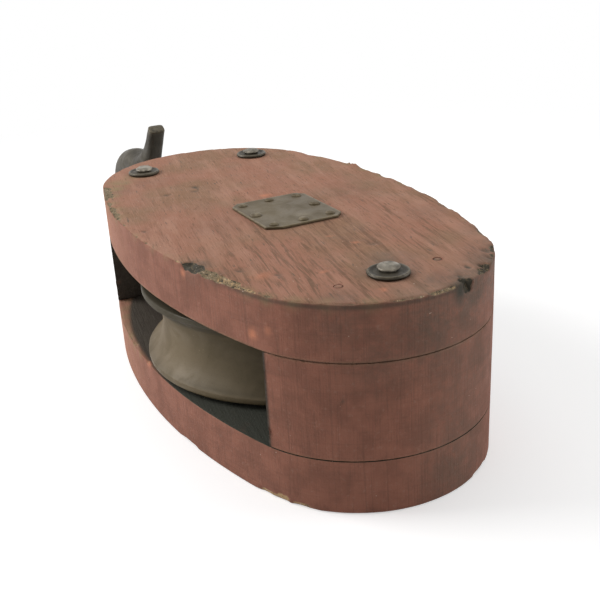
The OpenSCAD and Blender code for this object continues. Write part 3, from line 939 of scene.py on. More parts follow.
    def oval(self) -> np.ndarray:
        """Outline of the shell, alike on both sides of the middle line, anticlockwise."""
        low, high = box_mm("upper_cheek")
        half = high[1]
        crown_centre, heel_centre = low[0] + self.crown_radius, high[0] - self.heel_radius
        crown_step, heel_step = half - self.crown_radius, half - self.heel_radius
        gap = heel_centre - crown_centre
        share = 1 - heel_step / crown_step
        rest = gap * gap + heel_step * (self.heel_radius - self.crown_radius)
        run = rest / (gap + math.sqrt(gap * gap - share * rest))
        radius = (run * run / crown_step + self.crown_radius + half) / 2
        side_x, side_y = crown_centre + run, radius - half
        heel_turn = math.atan2(side_y, heel_centre - side_x)
        crown_turn = math.atan2(side_y, crown_centre - side_x)
        parts = [
            (heel_centre, 0.0, self.heel_radius, 0.0, heel_turn),
            (side_x, -side_y, radius, heel_turn, crown_turn),
            (crown_centre, 0.0, self.crown_radius, crown_turn, math.pi),
        ]
        line = []
        for x, y, r, start, end in parts:
            turns = ladder(start, end, self.spacing / r)[:-1]
            line += [(x + r * math.cos(a), y + r * math.sin(a)) for a in turns]
        line.append((low[0], 0.0))
        upper = np.array(line)
        return np.vstack([upper, upper[1:-1][::-1] * [1, -1]])

    def part_oval(self, keep_low: bool, cut_x: float) -> np.ndarray:
        """The outline on one side of a straight cut across the shell.

        Args:
            keep_low: True to keep the crown's side, and False to keep the heel's.
            cut_x: Where the cut crosses.

        Returns:
            The outline, anticlockwise, with points along the cut.
        """
        oval = self.oval()
        kept = oval[oval[:, 0] < cut_x - 0.1] if keep_low else oval[oval[:, 0] > cut_x + 0.1]
        kept = kept if keep_low else np.vstack([kept[kept[:, 1] < 0], kept[kept[:, 1] >= 0]])
        side = np.interp(cut_x, *np.array(sorted(map(tuple, oval[oval[:, 1] > 1]))).T)
        across = ladder(-side, side, self.spacing)
        across = across if keep_low else across[::-1]
        return np.vstack([kept, np.column_stack([np.full(len(across), cut_x), across])])

    def marked(self, skin: Skin, grease_and_shade: np.ndarray | float, inner: np.ndarray | float) -> Skin:
        """Adds the marks of dirt, rubbing and grease, the painted shade and sheen, the pits, and a slight
        unevenness.

        Args:
            skin: A board's skin.
            grease_and_shade: The grease at each point, and the painted shade under the upper cheek's near
                edge.
            inner: How much each point is unpainted wood inside the mortise; on the crown filler a small share
                of it is a painted shade.

        Returns:
            The same skin.
        """
        p = skin.points
        grain = layered_noise(p, (30.0, 2.6, 2.6), 3, 3)
        swell = layered_noise(p, (38.0, 22.0, 22.0), 8, 2)
        skin.sink(0.07 * (1 + grain) * skin.marks["face"] + 0.10 * (1 + swell))
        pit = spotted(p, self.pits, (0.62, 1, 1))
        skin.sink(pit * 0.9)
        skin.marks["dirt"] = np.maximum(spotted(p, self.dirt), np.clip(pit * 1.6, 0, 1))
        skin.marks["rubbed"] = spotted(p, self.rubbed)
        skin.marks["grease_and_shade"] = np.zeros(len(p)) + grease_and_shade
        skin.marks["inner"] = np.zeros(len(p)) + inner
        skin.marks["open"] = ease((p[:, 0] + 25) / 60)
        skin.marks["olive"] = spotted(p, self.olive)
        # The heel's far side greyed and darkened: partly dust, partly a painted sheen and painted shade.
        skin.marks["dust_sheen_and_shade"] = 0.42 * ease((p[:, 0] - 80) / 14) * ease((p[:, 1] + 14) / 26)
        # Paleness toward the crown end of the near side, partly weathering and partly a painted highlight.
        skin.marks["faded_and_lit"] = ease((0 - p[:, 0]) / 85) * ease(-p[:, 1] / 20)
        sliver = spotted(p, [self.splinter], (0.4, 1, 1))
        skin.points = skin.points + np.column_stack([-2.0 * sliver, sliver * 0.3, sliver * 1.6])
        return skin

    def upper_shade_and_stain(self, p: np.ndarray) -> np.ndarray:
        """A painted shade line on the upper cheek just under its near edge, and a dark stain below the heel's
        chip.
        """
        high = box_mm("upper_cheek")[1][2]
        line = ease(1 - np.abs(p[:, 2] - high + 1.3) / 1.2) * ease((p[:, 0] - 34) / 30) * (p[:, 1] < 8)
        stain = spotted(p, [Spot(91, 10, high - 2, 4.5, 0.9)], (1, 1, 0.7))
        return np.maximum(0.62 * line, stain)

    def lower_darkening(self, p: np.ndarray) -> np.ndarray:
        """Darkening on the lower cheek's inner face, growing from under the sheave toward the heel filler."""
        high = box_mm("lower_cheek")[1][2]
        return (p[:, 2] > high - 0.12) * ease((p[:, 0] + 14) / 34)

    def lower_inner(self, p: np.ndarray) -> np.ndarray:
        """How much of the lower cheek's inner face is bare brown wood, a little in from its edge."""
        high = box_mm("lower_cheek")[1]
        reach = np.hypot(p[:, 0] / high[0], p[:, 1] / high[1])
        crown = np.hypot((p[:, 0] + 10) / 101.5, p[:, 1] / high[1])
        return (p[:, 2] > high[2] - 0.12) * ease((1.0 - np.minimum(reach, crown)) / 0.035)

    def fastening_holes(self, low: float, high: float) -> list[bpy.types.Object]:
        """Cutters for the pin and the rivets, each set free of overlaps."""
        cutters = [bar("pin_hole", box_mm("sheave_pin")[1][0] + 0.05, (0, 0, low), (0, 0, high))]
        for node in ("crown_rivet_left", "crown_rivet_right", "heel_rivet"):
            x, y = middle_of(np.array(box_mm(node)))[:2]
            cutters.append(bar(node + "_hole", self.rivet_hole, (x, y, low), (x, y, high)))
        return cutters

    def strap_groove(self, low: float, high: float) -> bpy.types.Object:
        """Cutter for the groove that a leg of the strap lies in."""
        strap_low, strap_high = box_mm("strap")
        half = strap_high[1] - self.strap_eye + self.strap_gap
        eye = half + self.strap_eye
        open_half = math.asin(half / eye)
        turns = np.linspace(open_half - math.pi, math.pi - open_half, 49)
        arc = [(eye * math.cos(a), eye * math.sin(a)) for a in turns]
        outline = [(strap_low[0] - 5, half), (strap_low[0] - 5, -half), *arc]
        count = len(outline)
        points = np.array([(x, y, z) for z in (low, high) for x, y in outline])
        faces = [(i, (i + 1) % count, count + (i + 1) % count, count + i) for i in range(count)]
        faces += [tuple(range(count))[::-1], tuple(range(count, 2 * count))]
        return loose_object(Skin(points, faces).mesh("strap_groove"), "strap_groove")

    def spine(self) -> tuple[float, float]:
        """Where the middle lines of the cheeks' faces start and end."""
        low, high = box_mm("upper_cheek")
        return low[0] + self.crown_radius, high[0] - self.heel_radius

    def upper_cheek(self, shop: Workshop) -> None:
        """The upper cheek, with holes for the pin, rivets, nails and strap."""
        low, high = (c[2] for c in box_mm("upper_cheek"))
        rims = Rim(0.1, 0.05, fine=1.0), Rim(0.45, 0.50, self.high_chips)
        skin = Board(self.oval(), self.spine(), low, high, *rims, seed=2).build()
        self.marked(skin, self.upper_shade_and_stain(skin.points), 1.0 * (skin.points[:, 2] < low + 0.04))
        obj = loose_object(skin.mesh("upper_cheek_wood"), "upper_cheek_wood")
        strap_high = box_mm("strap")[1][2]
        cutters = [self.strap_groove(low - 1, strap_high), *self.fastening_holes(low - 1, high + 1)]
        for x, y in Fastenings.plug_places():
            cutters.append(bar("plug", self.plug_hole, (x, y, high - self.plug_depth), (x, y, high + 1)))
            cutters.append(bar("nail", self.nail_hole, (x, y, low - 1), (x, y, high)))
        fitted(obj, cutters)
        shop.place(obj, PaintedOak(), Body.SHELL, Slot.PAINT, "upper_cheek")

    def lower_cheek(self, shop: Workshop) -> None:
        """The lower cheek, with holes for the pin, rivets and strap."""
        low, high = (c[2] for c in box_mm("lower_cheek"))
        rims = Rim(0.4, 0.25, self.low_chips), Rim(0.25, 0.25, self.seat_chips, fine=0.6)
        skin = Board(self.oval(), self.spine(), low, high, *rims, face_step=3, seed=5).build()
        self.marked(skin, self.lower_darkening(skin.points), self.lower_inner(skin.points))
        obj = loose_object(skin.mesh("lower_cheek_wood"), "lower_cheek_wood")
        fitted(obj, [self.strap_groove(box_mm("strap")[0][2], high + 1), *self.fastening_holes(-1, high + 1)])
        shop.place(obj, PaintedOak(), Body.SHELL, Slot.PAINT, "lower_cheek")

    def filler(self, shop: Workshop, name: str, spine: tuple[float, float]) -> None:
        """One filler, cut straight across on the side of the mortise.

        Args:
            shop: Where finished pieces go.
            name: The CAD node that it stands for.
            spine: Where the middle line of its faces starts and ends.
        """
        corners = box_mm(name)
        crown = name == "crown_filler"
        cut_x = corners[1 if crown else 0][0]
        low, high = (c[2] for c in corners)
        rims = Rim(0.2, 0.12, fine=0.8), Rim(0.1, 0.04, fine=0.8)
        outline = self.part_oval(crown, cut_x)
        skin = Board(outline, spine, low, high, *rims, face_step=3, band=5, seed=9).build()
        self.shape_filler(skin, crown, cut_x)
        # Dark wood on the face toward the sheave; the 0.15 share over the rest of the crown filler is a
        # painted shade.
        inner = np.maximum(ease(1.4 - np.abs(skin.points[:, 0] - cut_x)), 0.15 * crown)
        self.marked(skin, 0.0, inner)
        obj = loose_object(skin.mesh(name + "_wood"), name + "_wood")
        cutters = self.fastening_holes(low - 1, high + 1)
        if crown:
            head = box_mm("hook_washer")
            middle = (low + high) / 2
            ends = (head[0][0] - 2, 0, middle), (head[1][0] + 6, 0, middle)
            cutters.append(bar("pocket", self.pocket_radius, *ends))
        fitted(obj, cutters)
        shop.place(obj, PaintedOak(), Body.SHELL, Slot.PAINT, name)

    def build(self, shop: Workshop) -> None:
        """Builds the four pieces of wood.

        Args:
            shop: Where finished pieces go.
        """
        self.upper_cheek(shop)
        self.lower_cheek(shop)
        self.filler(shop, "crown_filler", (-92.0, -86.0))
        self.filler(shop, "heel_filler", (72.0, 76.0))

    def shape_filler(self, skin: Skin, crown: bool, cut_x: float) -> None:
        """Hollows the crown filler's outer face a little, and roughens the straight inner edges.

        Args:
            skin: The filler's skin.
            crown: True for the crown filler.
            cut_x: Where its inner face stands.
        """
        p = skin.points
        low, high = p[:, 2].min(), p[:, 2].max()
        middle = 1 - np.abs((p[:, 2] - low) / (high - low) * 2 - 1)
        if crown:
            outer = ease((cut_x - 1 - p[:, 0]) / 4)
            skin.sink(1.3 * ease(middle * 1.6) * outer)
            rubbed = 0.12 * outer * ease(middle * 2 - 0.9) * (p[:, 1] < 0)
            skin.marks["bare"] = np.maximum(skin.marks["bare"], rubbed)
        corner = ease(1 - np.abs(p[:, 0] - cut_x) / 1.2) * ease((np.abs(p[:, 1]) - 36) / 3)
        nicks = np.clip(layered_noise(p, (9.0, 9.0, 2.4), 21, 3) - 0.05, 0, 1)
        way = -1 if crown else 1
        skin.points = p + np.column_stack([way * corner * nicks * 1.6, np.zeros((len(p), 2))])


@dataclass
class Sheave:
    """The bronze sheave, with a shallow rope groove and a dish in each side of its web."""

    hub_radius: float = 20.0
    rim_half: float = 14.1
    groove_half: float = 11.7
    groove_depth: float = 6.5
    dish: float = 4.0
    dish_edge: float = 9.0
    bore: float = 12.15
    sides: int = 288

    def line(self, radius: float, hub_half: float) -> list[tuple[float, float]]:
        """The closed line that is turned about the pin.

        Args:
            radius: Radius over the rims.
            hub_half: Half the hub's length.

        Returns:
            Points as (radius, z).
        """
        round_groove = (self.groove_half**2 + self.groove_depth**2) / (2 * self.groove_depth)
        half_turn = math.asin(self.groove_half / round_groove)
        centre = radius - self.groove_depth + round_groove
        turns = np.linspace(-half_turn * 0.97, half_turn * 0.97, 33)
        groove = [(centre - round_groove * math.cos(a), round_groove * math.sin(a), 0) for a in turns]
        dish_end = radius - self.groove_depth - self.dish_edge
        floor = self.rim_half - self.dish
        lower = [
            (self.bore, -hub_half, 0.5), (self.hub_radius, -hub_half, 1.0), (self.hub_radius, -floor, 1.6),
            (dish_end, -floor, 2.0), (dish_end, -self.rim_half, 1.0), (radius, -self.rim_half, 0.9),
            (radius, -self.groove_half - 0.2, 0.7),
        ]
        upper = [(r, -z, c) for r, z, c in reversed(lower)]
        return filled(rounded([*lower, *groove, *upper], 4), 1.6)

    def build(self, shop: Workshop) -> None:
        """Builds the sheave.

        Args:
            shop: Where finished pieces go.
        """
        low, high = box_mm("sheave")
        radius, height = high[0], (low[2] + high[2]) / 2
        skin = revolve(self.line(radius, (high[2] - low[2]) / 2), self.sides, True)
        p = skin.points
        r = np.hypot(p[:, 0], p[:, 1])
        rim = ease((r - radius + 2.0) / 1.6)
        knocks = np.clip(layered_noise(p, (5, 5, 9), 33, 2) - 0.1, 0, 1)
        skin.sink(0.05 * (1 + layered_noise(p, 7.0, 31, 3)) + rim * 0.22 * knocks)
        edge = np.abs(np.abs(p[:, 2]) - self.groove_half - 1.0)
        turn = np.degrees(np.arctan2(p[:, 1], p[:, 0]))
        groove = ease((self.groove_half + 0.5 - np.abs(p[:, 2])) / 1.5) * (r > radius - self.groove_depth - 1)
        # A painted highlight: a light upright band on the groove, toward the crown side.
        band = np.exp(-(((turn + 124) / 11) ** 2)) * ease((p[:, 2] + 6) / 10)
        worn = np.maximum(rim * ease(1 - edge / 1.1) * 0.55, 0.35 * ease((self.bore + 5 - r) / 4))
        # The bright mark here is rim and bore wear plus the painted highlight band.
        skin.marks["worn"] = np.maximum(worn, 0.55 * band * groove)
        # Painted shade on the sheave: the upper flange under the cheek, the groove's far side and the lower
        # flange are darkened.
        far = ease((turn + 95) / 45) * (turn < 20)
        far_and_low_shade = 0.42 * far * groove + 0.30 * ease((-p[:, 2] - 9.5) / 3)
        skin.marks["stained_and_shaded"] = np.maximum(0.85 * ease((p[:, 2] - 5.5) / 4), far_and_low_shade)
        skin.points = skin.points + [0, 0, height]
        obj = loose_object(skin.mesh("bronze_sheave"), "bronze_sheave")
        shop.place(obj, BRONZE, Body.SHEAVE, Slot.SHEAVE, "sheave", crease=60)
        shop.keep("sheave_bush", BUSH, 0.3)
        shop.keep("sheave_pin", PIN, 0.4)


@dataclass(frozen=True)
class Station:
    """A cross-section of the hook: its place, half its thickness and width, and how square it is."""

    x: float
    rise: float
    thick: float
    wide: float
    square: float


@dataclass
class SwivelHook:
    """The forged hook: head and shank inside the yoke, collar outside it, and the bowl and bill."""

    shank_radius: float = 7.0
    head_radius: float = 10.0
    collar_radius: float = 11.0
    collar_height: float = 6.0
    yoke_gap: float = 0.3
    bowl_reach: float = 51.5
    bowl_radius: float = 19.5
    bowl_drop: float = 4.0
    bowl_thick: float = 8.4
    bowl_wide: float = 8.7
    bill_reach: float = 38.0
    bill_rise: float = 40.4
    bill_thick: float = 2.35
    bill_wide: float = 3.75
    sides: int = 40
    steps: int = 9
    bowl_turns: Sequence[tuple[float, float, float]] = (
        (-46, -0.6, -1.0), (-90, 0, -0.4), (-135, 0, 0), (-180, 0, 0), (-225, 0.2, 0.2), (-265, -0.5, -0.5),
    )
    bill_shares: Sequence[tuple[float, float, float, float, float]] = (
        (0.32, 0.06, 0.37, 0.38, 2.2), (0.55, 0.24, 0.58, 0.67, 2.6), (0.78, 0.56, 0.84, 0.91, 3.4),
        (1, 1, 1, 1, 4.4),
    )

    def stations(self, collar_end: float) -> list[Station]:
        """The cross-sections from the collar to the tip.

        Args:
            collar_end: X of the collar's outer face.

        Returns:
            The stations in order.
        """
        bowl_x = collar_end - self.bowl_reach
        top = self.bowl_radius - self.bowl_drop
        line = [Station(collar_end + 3, 0, 7.4, 7.4, 2.0), Station(collar_end - 7, -0.8, 7.4, 7.4, 2.0)]
        for turn, thick, wide in self.bowl_turns:
            a = math.radians(turn)
            x = bowl_x + self.bowl_radius * math.cos(a)
            rise = -self.bowl_drop + self.bowl_radius * math.sin(a)
            line.append(Station(x, rise, self.bowl_thick + thick, self.bowl_wide + wide, 2.0))
        for reach, rise, thick, wide, square in self.bill_shares:
            line.append(Station(
                bowl_x + reach * self.bill_reach, top + rise * (self.bill_rise - top),
                self.bowl_thick + thick * (self.bill_thick - self.bowl_thick),
                self.bowl_wide + wide * (self.bill_wide - self.bowl_wide), square,
            ))
        return line

    def forged(self, stations: list[Station], axis_z: float) -> Skin:
        """Sweeps the cross-sections into one closed skin."""
        rows = np.array([[s.x, s.rise, s.thick, s.wide, s.square] for s in stations])
        rows = np.vstack([rows[:1], rows, rows[-1:], rows[-1:]])
        data = []
        for k in range((len(stations) - 1) * self.steps + 1):
            i, t = divmod(k, self.steps)
            t /= self.steps
            a, b, c, d = rows[i:i + 4]
            curve = (2 * a - 5 * b + 4 * c - d) * t**2 + (3 * b - a - 3 * c + d) * t**3
            data.append(0.5 * (2 * b + (c - a) * t + curve))
        data = np.array(data)
        run = np.gradient(data[:, :2], axis=0)
        run /= np.linalg.norm(run, axis=1, keepdims=True)
        angles = np.arange(self.sides) * FULL_TURN / self.sides
        cos, sin = np.cos(angles), np.sin(angles)
        rings = []
        for (x, rise, thick, wide, square), (dx, dz) in zip(data, run):
            u = thick * np.sign(cos) * np.abs(cos) ** (2 / square)
            v = wide * np.sign(sin) * np.abs(sin) ** (2 / square)
            rings.append(np.column_stack([x - dz * u, v, axis_z + rise + dx * u]))
        start = [rings[0].mean(0) + (rings[0] - rings[0].mean(0)) * s for s in (0, 0.5)]
        tip, ahead = rings[-1].mean(0), np.array([run[-1][0], 0, run[-1][1]])
        dome = ((0.97, 0.15), (0.90, 0.28), (0.45, 0.35), (0, 0.35))
        end = [tip + (rings[-1] - tip) * s + ahead * h for s, h in dome]
        rings = [*start, *rings, *end]
        return Skin(np.vstack(rings), ring_faces(len(rings), self.sides))

    def build(self, shop: Workshop) -> None:
        """Builds the hook and dresses its washer.

        Args:
            shop: Where finished pieces go.
        """
        strap_low, strap_high = box_mm("strap")
        axis_z = (strap_low[2] + strap_high[2]) / 2
        collar_start = strap_low[0] - self.yoke_gap
        collar_end = collar_start - self.collar_height
        body = self.forged(self.stations(collar_end), axis_z)
        dents = layered_noise(body.points, 9.0, 51, 3)
        blows = np.clip(layered_noise(body.points, 6.0, 57, 2) - 0.25, 0, 1)
        body.sink(0.10 * (1 + dents) + 0.30 * blows)
        rise = body.points[:, 2] - axis_z
        body.marks["worn"] = ease((rise - self.bill_rise + 3) / 2.5) * 0.8 + 0.15 * (dents > 0.3)
        head = box_mm("hook_washer")[1][0] + self.yoke_gap
        head_end = box_mm("swivel_hook")[1][0]
        line = rounded([
            (0.0, collar_end, 0), (self.collar_radius, collar_end, 1.0),
            (self.collar_radius, collar_start, 0.9),
            (self.shank_radius, collar_start, 0), (self.shank_radius, head, 0), (self.head_radius, head, 0.5),
            (self.head_radius, head_end, 1.6), (0.0, head_end, 0),
        ], 4)
        turned = revolve(line, 72, False)
        turned.marks["worn"] = np.full(len(turned.points), 0.15)
        outside = np.hypot(*turned.points[:, :2].T) > self.shank_radius + 0.5
        turned.sink(0.06 * (1 + layered_noise(turned.points, 6.0, 58, 2)) * outside)
        x, y, z = turned.points.T
        turned.points = np.column_stack([z, y, axis_z - x])
        obj = loose_object(body.mesh("hook"), "forged_hook")
        fitted(obj, [loose_object(turned.mesh("shank"), "shank")], "UNION")
        shop.place(obj, IRON, Body.HOOK, Slot.IRON, "swivel_hook", crease=50)
        shop.keep("hook_washer", IRON, 0.3)
        shop.keep("strap", IRON, 0.8)


@dataclass
class Fastenings:
    """Rivets clenched over their roves, and the two nails through the heel."""

    shank: float = 2.5
    flare: float = 3.9
    flare_depth: float = 2.5
    head: Sequence[tuple[float, float]] = (
        (0.66, 0.10), (0.80, 0.26), (0.93, 0.34), (0.99, 0.44), (1.0, 0.56), (0.96, 0.70), (0.86, 0.82),
        (0.66, 0.92), (0.40, 0.98), (0.2, 1.0), (0, 1.0),
    )
    nail_head: Sequence[tuple[float, float]] = (
        (1.0, 0.75), (1.26, 0.7), (1.28, 0.3), (1.12, 0.12), (0.7, 0.05), (0, 0.04),
    )

    @staticmethod
    def plug_places() -> list[tuple[float, float]]:
        """Where the two heel nails stand."""
        points = np.array([v.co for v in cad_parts["heel_nails"].data.vertices]) / MM
        sides = (points[points[:, 1] < 0], points[points[:, 1] > 0])
        return [tuple(middle_of(s)[:2]) for s in sides]

    def rivet(self, node: str, seed: int, shop: Workshop) -> None:
        """One rivet with its uneven clenched head.

        Args:
            node: The CAD node that it stands for.
            seed: Chooses how its head is beaten.
            shop: Where finished pieces go.
        """
        low, high = box_mm(node)
        top = box_mm(node.replace("rivet", "rove"))[1][2]
        rise = high[2] - top
        head = [(self.flare * s, top + rise * h) for s, h in self.head]
        foot = [(0, 0.0), (self.flare * 0.6, 0.0), (self.flare, 0.0), (self.flare, 0.15)]
        shank = [(self.shank, z) for z in ladder(self.flare_depth + 2, top - 1.2, 6)]
        line = [*foot, (self.shank, self.flare_depth), *shank, (self.shank, top - 0.4), *head]
        skin = revolve(line, 64, False)
        p = skin.points
        up = ease((p[:, 2] - top + 0.4) / 1.0)
        beaten = layered_noise(p, 2.6, seed, 2)
        squash = 1 - up * 0.10 * (1 + lattice_noise(p * [1, 1, 0], 5.0, seed + 3))
        flat = np.column_stack([squash, squash, np.ones(len(p))])
        drop = up * (0.16 * (1 + beaten) + 0.05 * (p[:, 0] + 3) - 0.03 * (p[:, 1] - 3))
        skin.points = p * flat - np.column_stack([up * 0.45, up * -0.30, drop])
        skin.marks["worn"] = up * ease(0.35 + beaten)
        skin.points = skin.points + [(low[0] + high[0]) / 2, (low[1] + high[1]) / 2, 0]
        obj = loose_object(skin.mesh(node), node + "_clenched")
        shop.place(obj, HEAD_IRON, Body.SHELL, Slot.FASTENING, node, crease=55)

    def rove(self, node: str, seed: int, shop: Workshop) -> None:
        """One dished rove with a raised rim.

        Args:
            node: The CAD node that it stands for.
            seed: Chooses how it is bent.
            shop: Where finished pieces go.
        """
        low, high = box_mm(node)
        radius, thick = (high[0] - low[0]) / 2, high[2] - low[2]
        line = rounded([
            (self.shank + 0.05, 0, 0), (radius - 0.25, 0, 0.1), (radius, thick * 0.45, 0.25),
            (radius - 0.35, thick, 0.3), (radius - 1.1, thick * 0.92, 0.35),
            (radius - 1.9, thick * 0.62, 0.5),
            (self.shank + 1.6, thick * 0.66, 0.3), (self.shank + 0.05, thick * 0.9, 0),
        ], 4)
        skin = revolve(line, 96, True)
        p = skin.points
        r = np.hypot(p[:, 0], p[:, 1])
        uneven = layered_noise(p, 4.0, seed, 2)
        skin.points = p * np.column_stack([1 - 0.02 * (1 + uneven)] * 2 + [1 - 0.06 * (1 + uneven)])
        skin.marks["worn"] = ease((r - radius + 1.1) / 0.6) * ease(p[:, 2] / thick * 2 - 1)
        skin.points = skin.points + [(low[0] + high[0]) / 2, (low[1] + high[1]) / 2, low[2]]
        obj = loose_object(skin.mesh(node), node + "_dished")
        shop.place(obj, IRON, Body.SHELL, Slot.FASTENING, node, crease=55)

    def heel_nails(self, shop: Workshop) -> None:
        """The two nails whose painted heads show in the upper cheek.

        Args:
            shop: Where finished pieces go.
        """
        low, high = box_mm("heel_nails")
        skins = []
        for i, (x, y) in enumerate(self.plug_places()):
            point = [(0, low[2]), (0.5, low[2]), (1.0, low[2] + 2)]
            head = [(r, high[2] - drop) for r, drop in self.nail_head]
            skin = revolve([*point, *head], 48, False)
            skin.sink(0.05 * (1 + layered_noise(skin.points, 1.6, 71 + i, 2)))
            skin.points = skin.points + [x, y, 0]
            skins.append(skin)
        skin = Skin.joined(skins)
        top = ease((skin.points[:, 2] - high[2] + 0.5) / 0.2)
        edge = spotted(skin.points, [Spot(x, y, high[2], 1.5) for x, y in self.plug_places()])
        skin.marks = {mark: np.zeros(len(top)) for mark in WOOD_MARKS} | {"face": top, "dirt": 1 - 0.8 * edge}
        obj = loose_object(skin.mesh("heel_nails"), "painted_heel_nails")
        shop.place(obj, PaintedOak(), Body.SHELL, Slot.PAINT, "heel_nails", crease=55)

    def build(self, shop: Workshop) -> None:
        """Builds every rivet, rove and heel nail.

        Args:
            shop: Where finished pieces go.
        """
        for seed, place in enumerate(("crown_{}_left", "crown_{}_right", "heel_{}"), start=61):
            self.rivet(place.format("rivet"), seed, shop)
            self.rove(place.format("rove"), seed + 10, shop)
        self.heel_nails(shop)


@dataclass
class PinPlates:
    """The two plates that cover the pin's ends, each with eight nails."""

    near_cut: float = 5.4
    near_bevel: float = 2.8
    cut: float = 3.0
    nail_heads: Sequence[float] = (1.7, 1.75, 1.85, 2.15, 2.1, 1.75, 1.7, 1.8)
    nail_apart: float = 4.6
    nail_reach: float = 4.2
    dome: Sequence[tuple[float, float]] = (
        (0.94, -0.25), (1.0, 0.10), (0.96, 0.35), (0.82, 0.62), (0.58, 0.85), (0.30, 0.96), (0, 1.0),
    )

    def outline(self, half_x: float, half_y: float) -> np.ndarray:
        """A plate's outline, anticlockwise, with its cut corners slightly rounded.

        Args:
            half_x: Half its length.
            half_y: Half its width.

        Returns:
            Points about half a millimetre apart.
        """
        c = self.cut
        corners = [
            (-half_x + c, -half_y, 0.6), (half_x - self.near_bevel, -half_y, 0.8),
            (half_x, -half_y + self.near_cut, 0.8), (half_x, half_y - c, 0.6), (half_x - c, half_y, 0.6),
            (-half_x + c, half_y, 0.6), (-half_x, half_y - c, 0.6), (-half_x, -half_y + c, 0.5),
        ]
        return np.array(filled(rounded(corners, 4), 0.6))

    def nail_places(self, node: str) -> list[tuple[float, float]]:
        """Middles of the eight nails of a CAD node."""
        corners = np.array([v.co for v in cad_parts[node].data.vertices])[:, :2] / MM
        points = np.unique(np.round(corners, 2), axis=0)
        places: list[np.ndarray] = []
        for point in points:
            if all(math.dist(point, p) >= self.nail_apart for p in places):
                places.append(point)
        for _ in range(3):
            places = [middle_of(points[np.hypot(*(points - p).T) < self.nail_reach]) for p in places]
        return [tuple(p) for p in places]

    def sheet(self, node: str, name: str, nails: list[tuple[float, float]], shop: Workshop) -> None:
        """One plate, dented a little round its nails.

        Args:
            node: The CAD node that it stands for.
            name: The piece's name.
            nails: Where its nails stand.
            shop: Where finished pieces go.
        """
        low, high = box_mm(node)
        outline = self.outline(high[0], high[1])
        rims = Rim(0.12, 0.02, fine=0.7), Rim(0.25, 0.06, fine=0.3)
        steps = {"face_step": 0.8, "wall_step": 0.3, "band": 3.0}
        board = Board(outline, (0.0, 0.0), low[2], high[2], *rims, seed=13, **steps)
        skin = board.build()
        p = skin.points
        up = (p[:, 2] - low[2]) / (high[2] - low[2])
        dent = spotted(p, [Spot(x, y, 0, 4.2) for x, y in nails], (1, 1, 0))
        inner = spotted(p, [Spot(x, y, 0, 2.4) for x, y in nails], (1, 1, 0))
        wave = layered_noise(p, 13.0, 15, 2)
        drop = up * (0.06 * (1 + wave) + 0.14 * (dent - inner).clip(0))
        skin.points = p - np.column_stack([np.zeros((len(p), 2)), drop])
        rim = ease(1 - np.minimum(high[0] - np.abs(p[:, 0]), high[1] - np.abs(p[:, 1])) / 1.0)
        skin.marks = {"worn": up * rim * 0.8 + 0.5 * spotted(p, [Spot(9, 2, high[2], 5)])}
        obj = loose_object(skin.mesh(name), name)
        shop.place(obj, PLATE, Body.SHELL, Slot.PLATE, node)

    def nails(self, side: str, top: float, places: list[tuple[float, float]], shop: Workshop) -> None:
        """Eight nails in one piece, standing up from the upper plate or flush in the lower one.

        Args:
            side: Which plate they hold, upper or lower.
            top: Height of the face that their heads lie on.
            places: Where they stand.
            shop: Where finished pieces go.
        """
        node, name = side + "_plate_nails", side + "_plate_nail_heads"
        low, high = box_mm(node)
        skins = []
        standing = side == "upper"
        for i, (x, y) in enumerate(places):
            seed, head = 80 + i, self.nail_heads[i % len(self.nail_heads)]
            if standing:
                rise = high[2] - top
                point = [(0, low[2]), (0.4, low[2]), (0.98, low[2] + 2), (0.98, top - 0.5)]
                line = [*point, *[(head * s, top + rise * h) for s, h in self.dome]]
            else:
                point = [(0.98, high[2] - 2), (0.4, high[2]), (0, high[2])]
                line = [(0, 0.05), (1.2, 0.02), (head, 0.0), (0.98, 0.8), *point]
            skin = revolve(line, 40, False)
            p = skin.points
            beaten = layered_noise(p + [9 * i, 0, 0], 1.5, seed, 2)
            lean = 0.12 * lattice_noise(np.array([[i * 7.3, 1, 2]]), 1.0, seed)[0]
            crown = ease((p[:, 2] - top + 0.2) / 0.5) if standing else np.zeros(len(p))
            drop = crown * (0.10 * (1 + beaten) + lean * p[:, 0] * 0.5 + 0.05)
            skin.points = p - np.column_stack([np.zeros((len(p), 2)), drop])
            skin.points = skin.points + [x, y, 0]
            skin.marks["worn"] = crown * ease(0.2 + beaten * 0.8)
            skins.append(skin)
        obj = loose_object(Skin.joined(skins).mesh(name), name)
        shop.place(obj, PLATE, Body.SHELL, Slot.PLATE, node, crease=55)

    def build(self, shop: Workshop) -> None:
        """Builds both plates and their nails.

        Args:
            shop: Where finished pieces go.
        """
        for side in ("upper", "lower"):
            places = self.nail_places(side + "_plate_nails")
            LOG.info("%s nails at %s", side, places)
            self.sheet(side + "_pin_plate", side + "_plate_sheet", places, shop)
            top = box_mm(side + "_pin_plate")[1 if side == "upper" else 0][2]
            self.nails(side, top, places, shop)


# ---- Studio ----


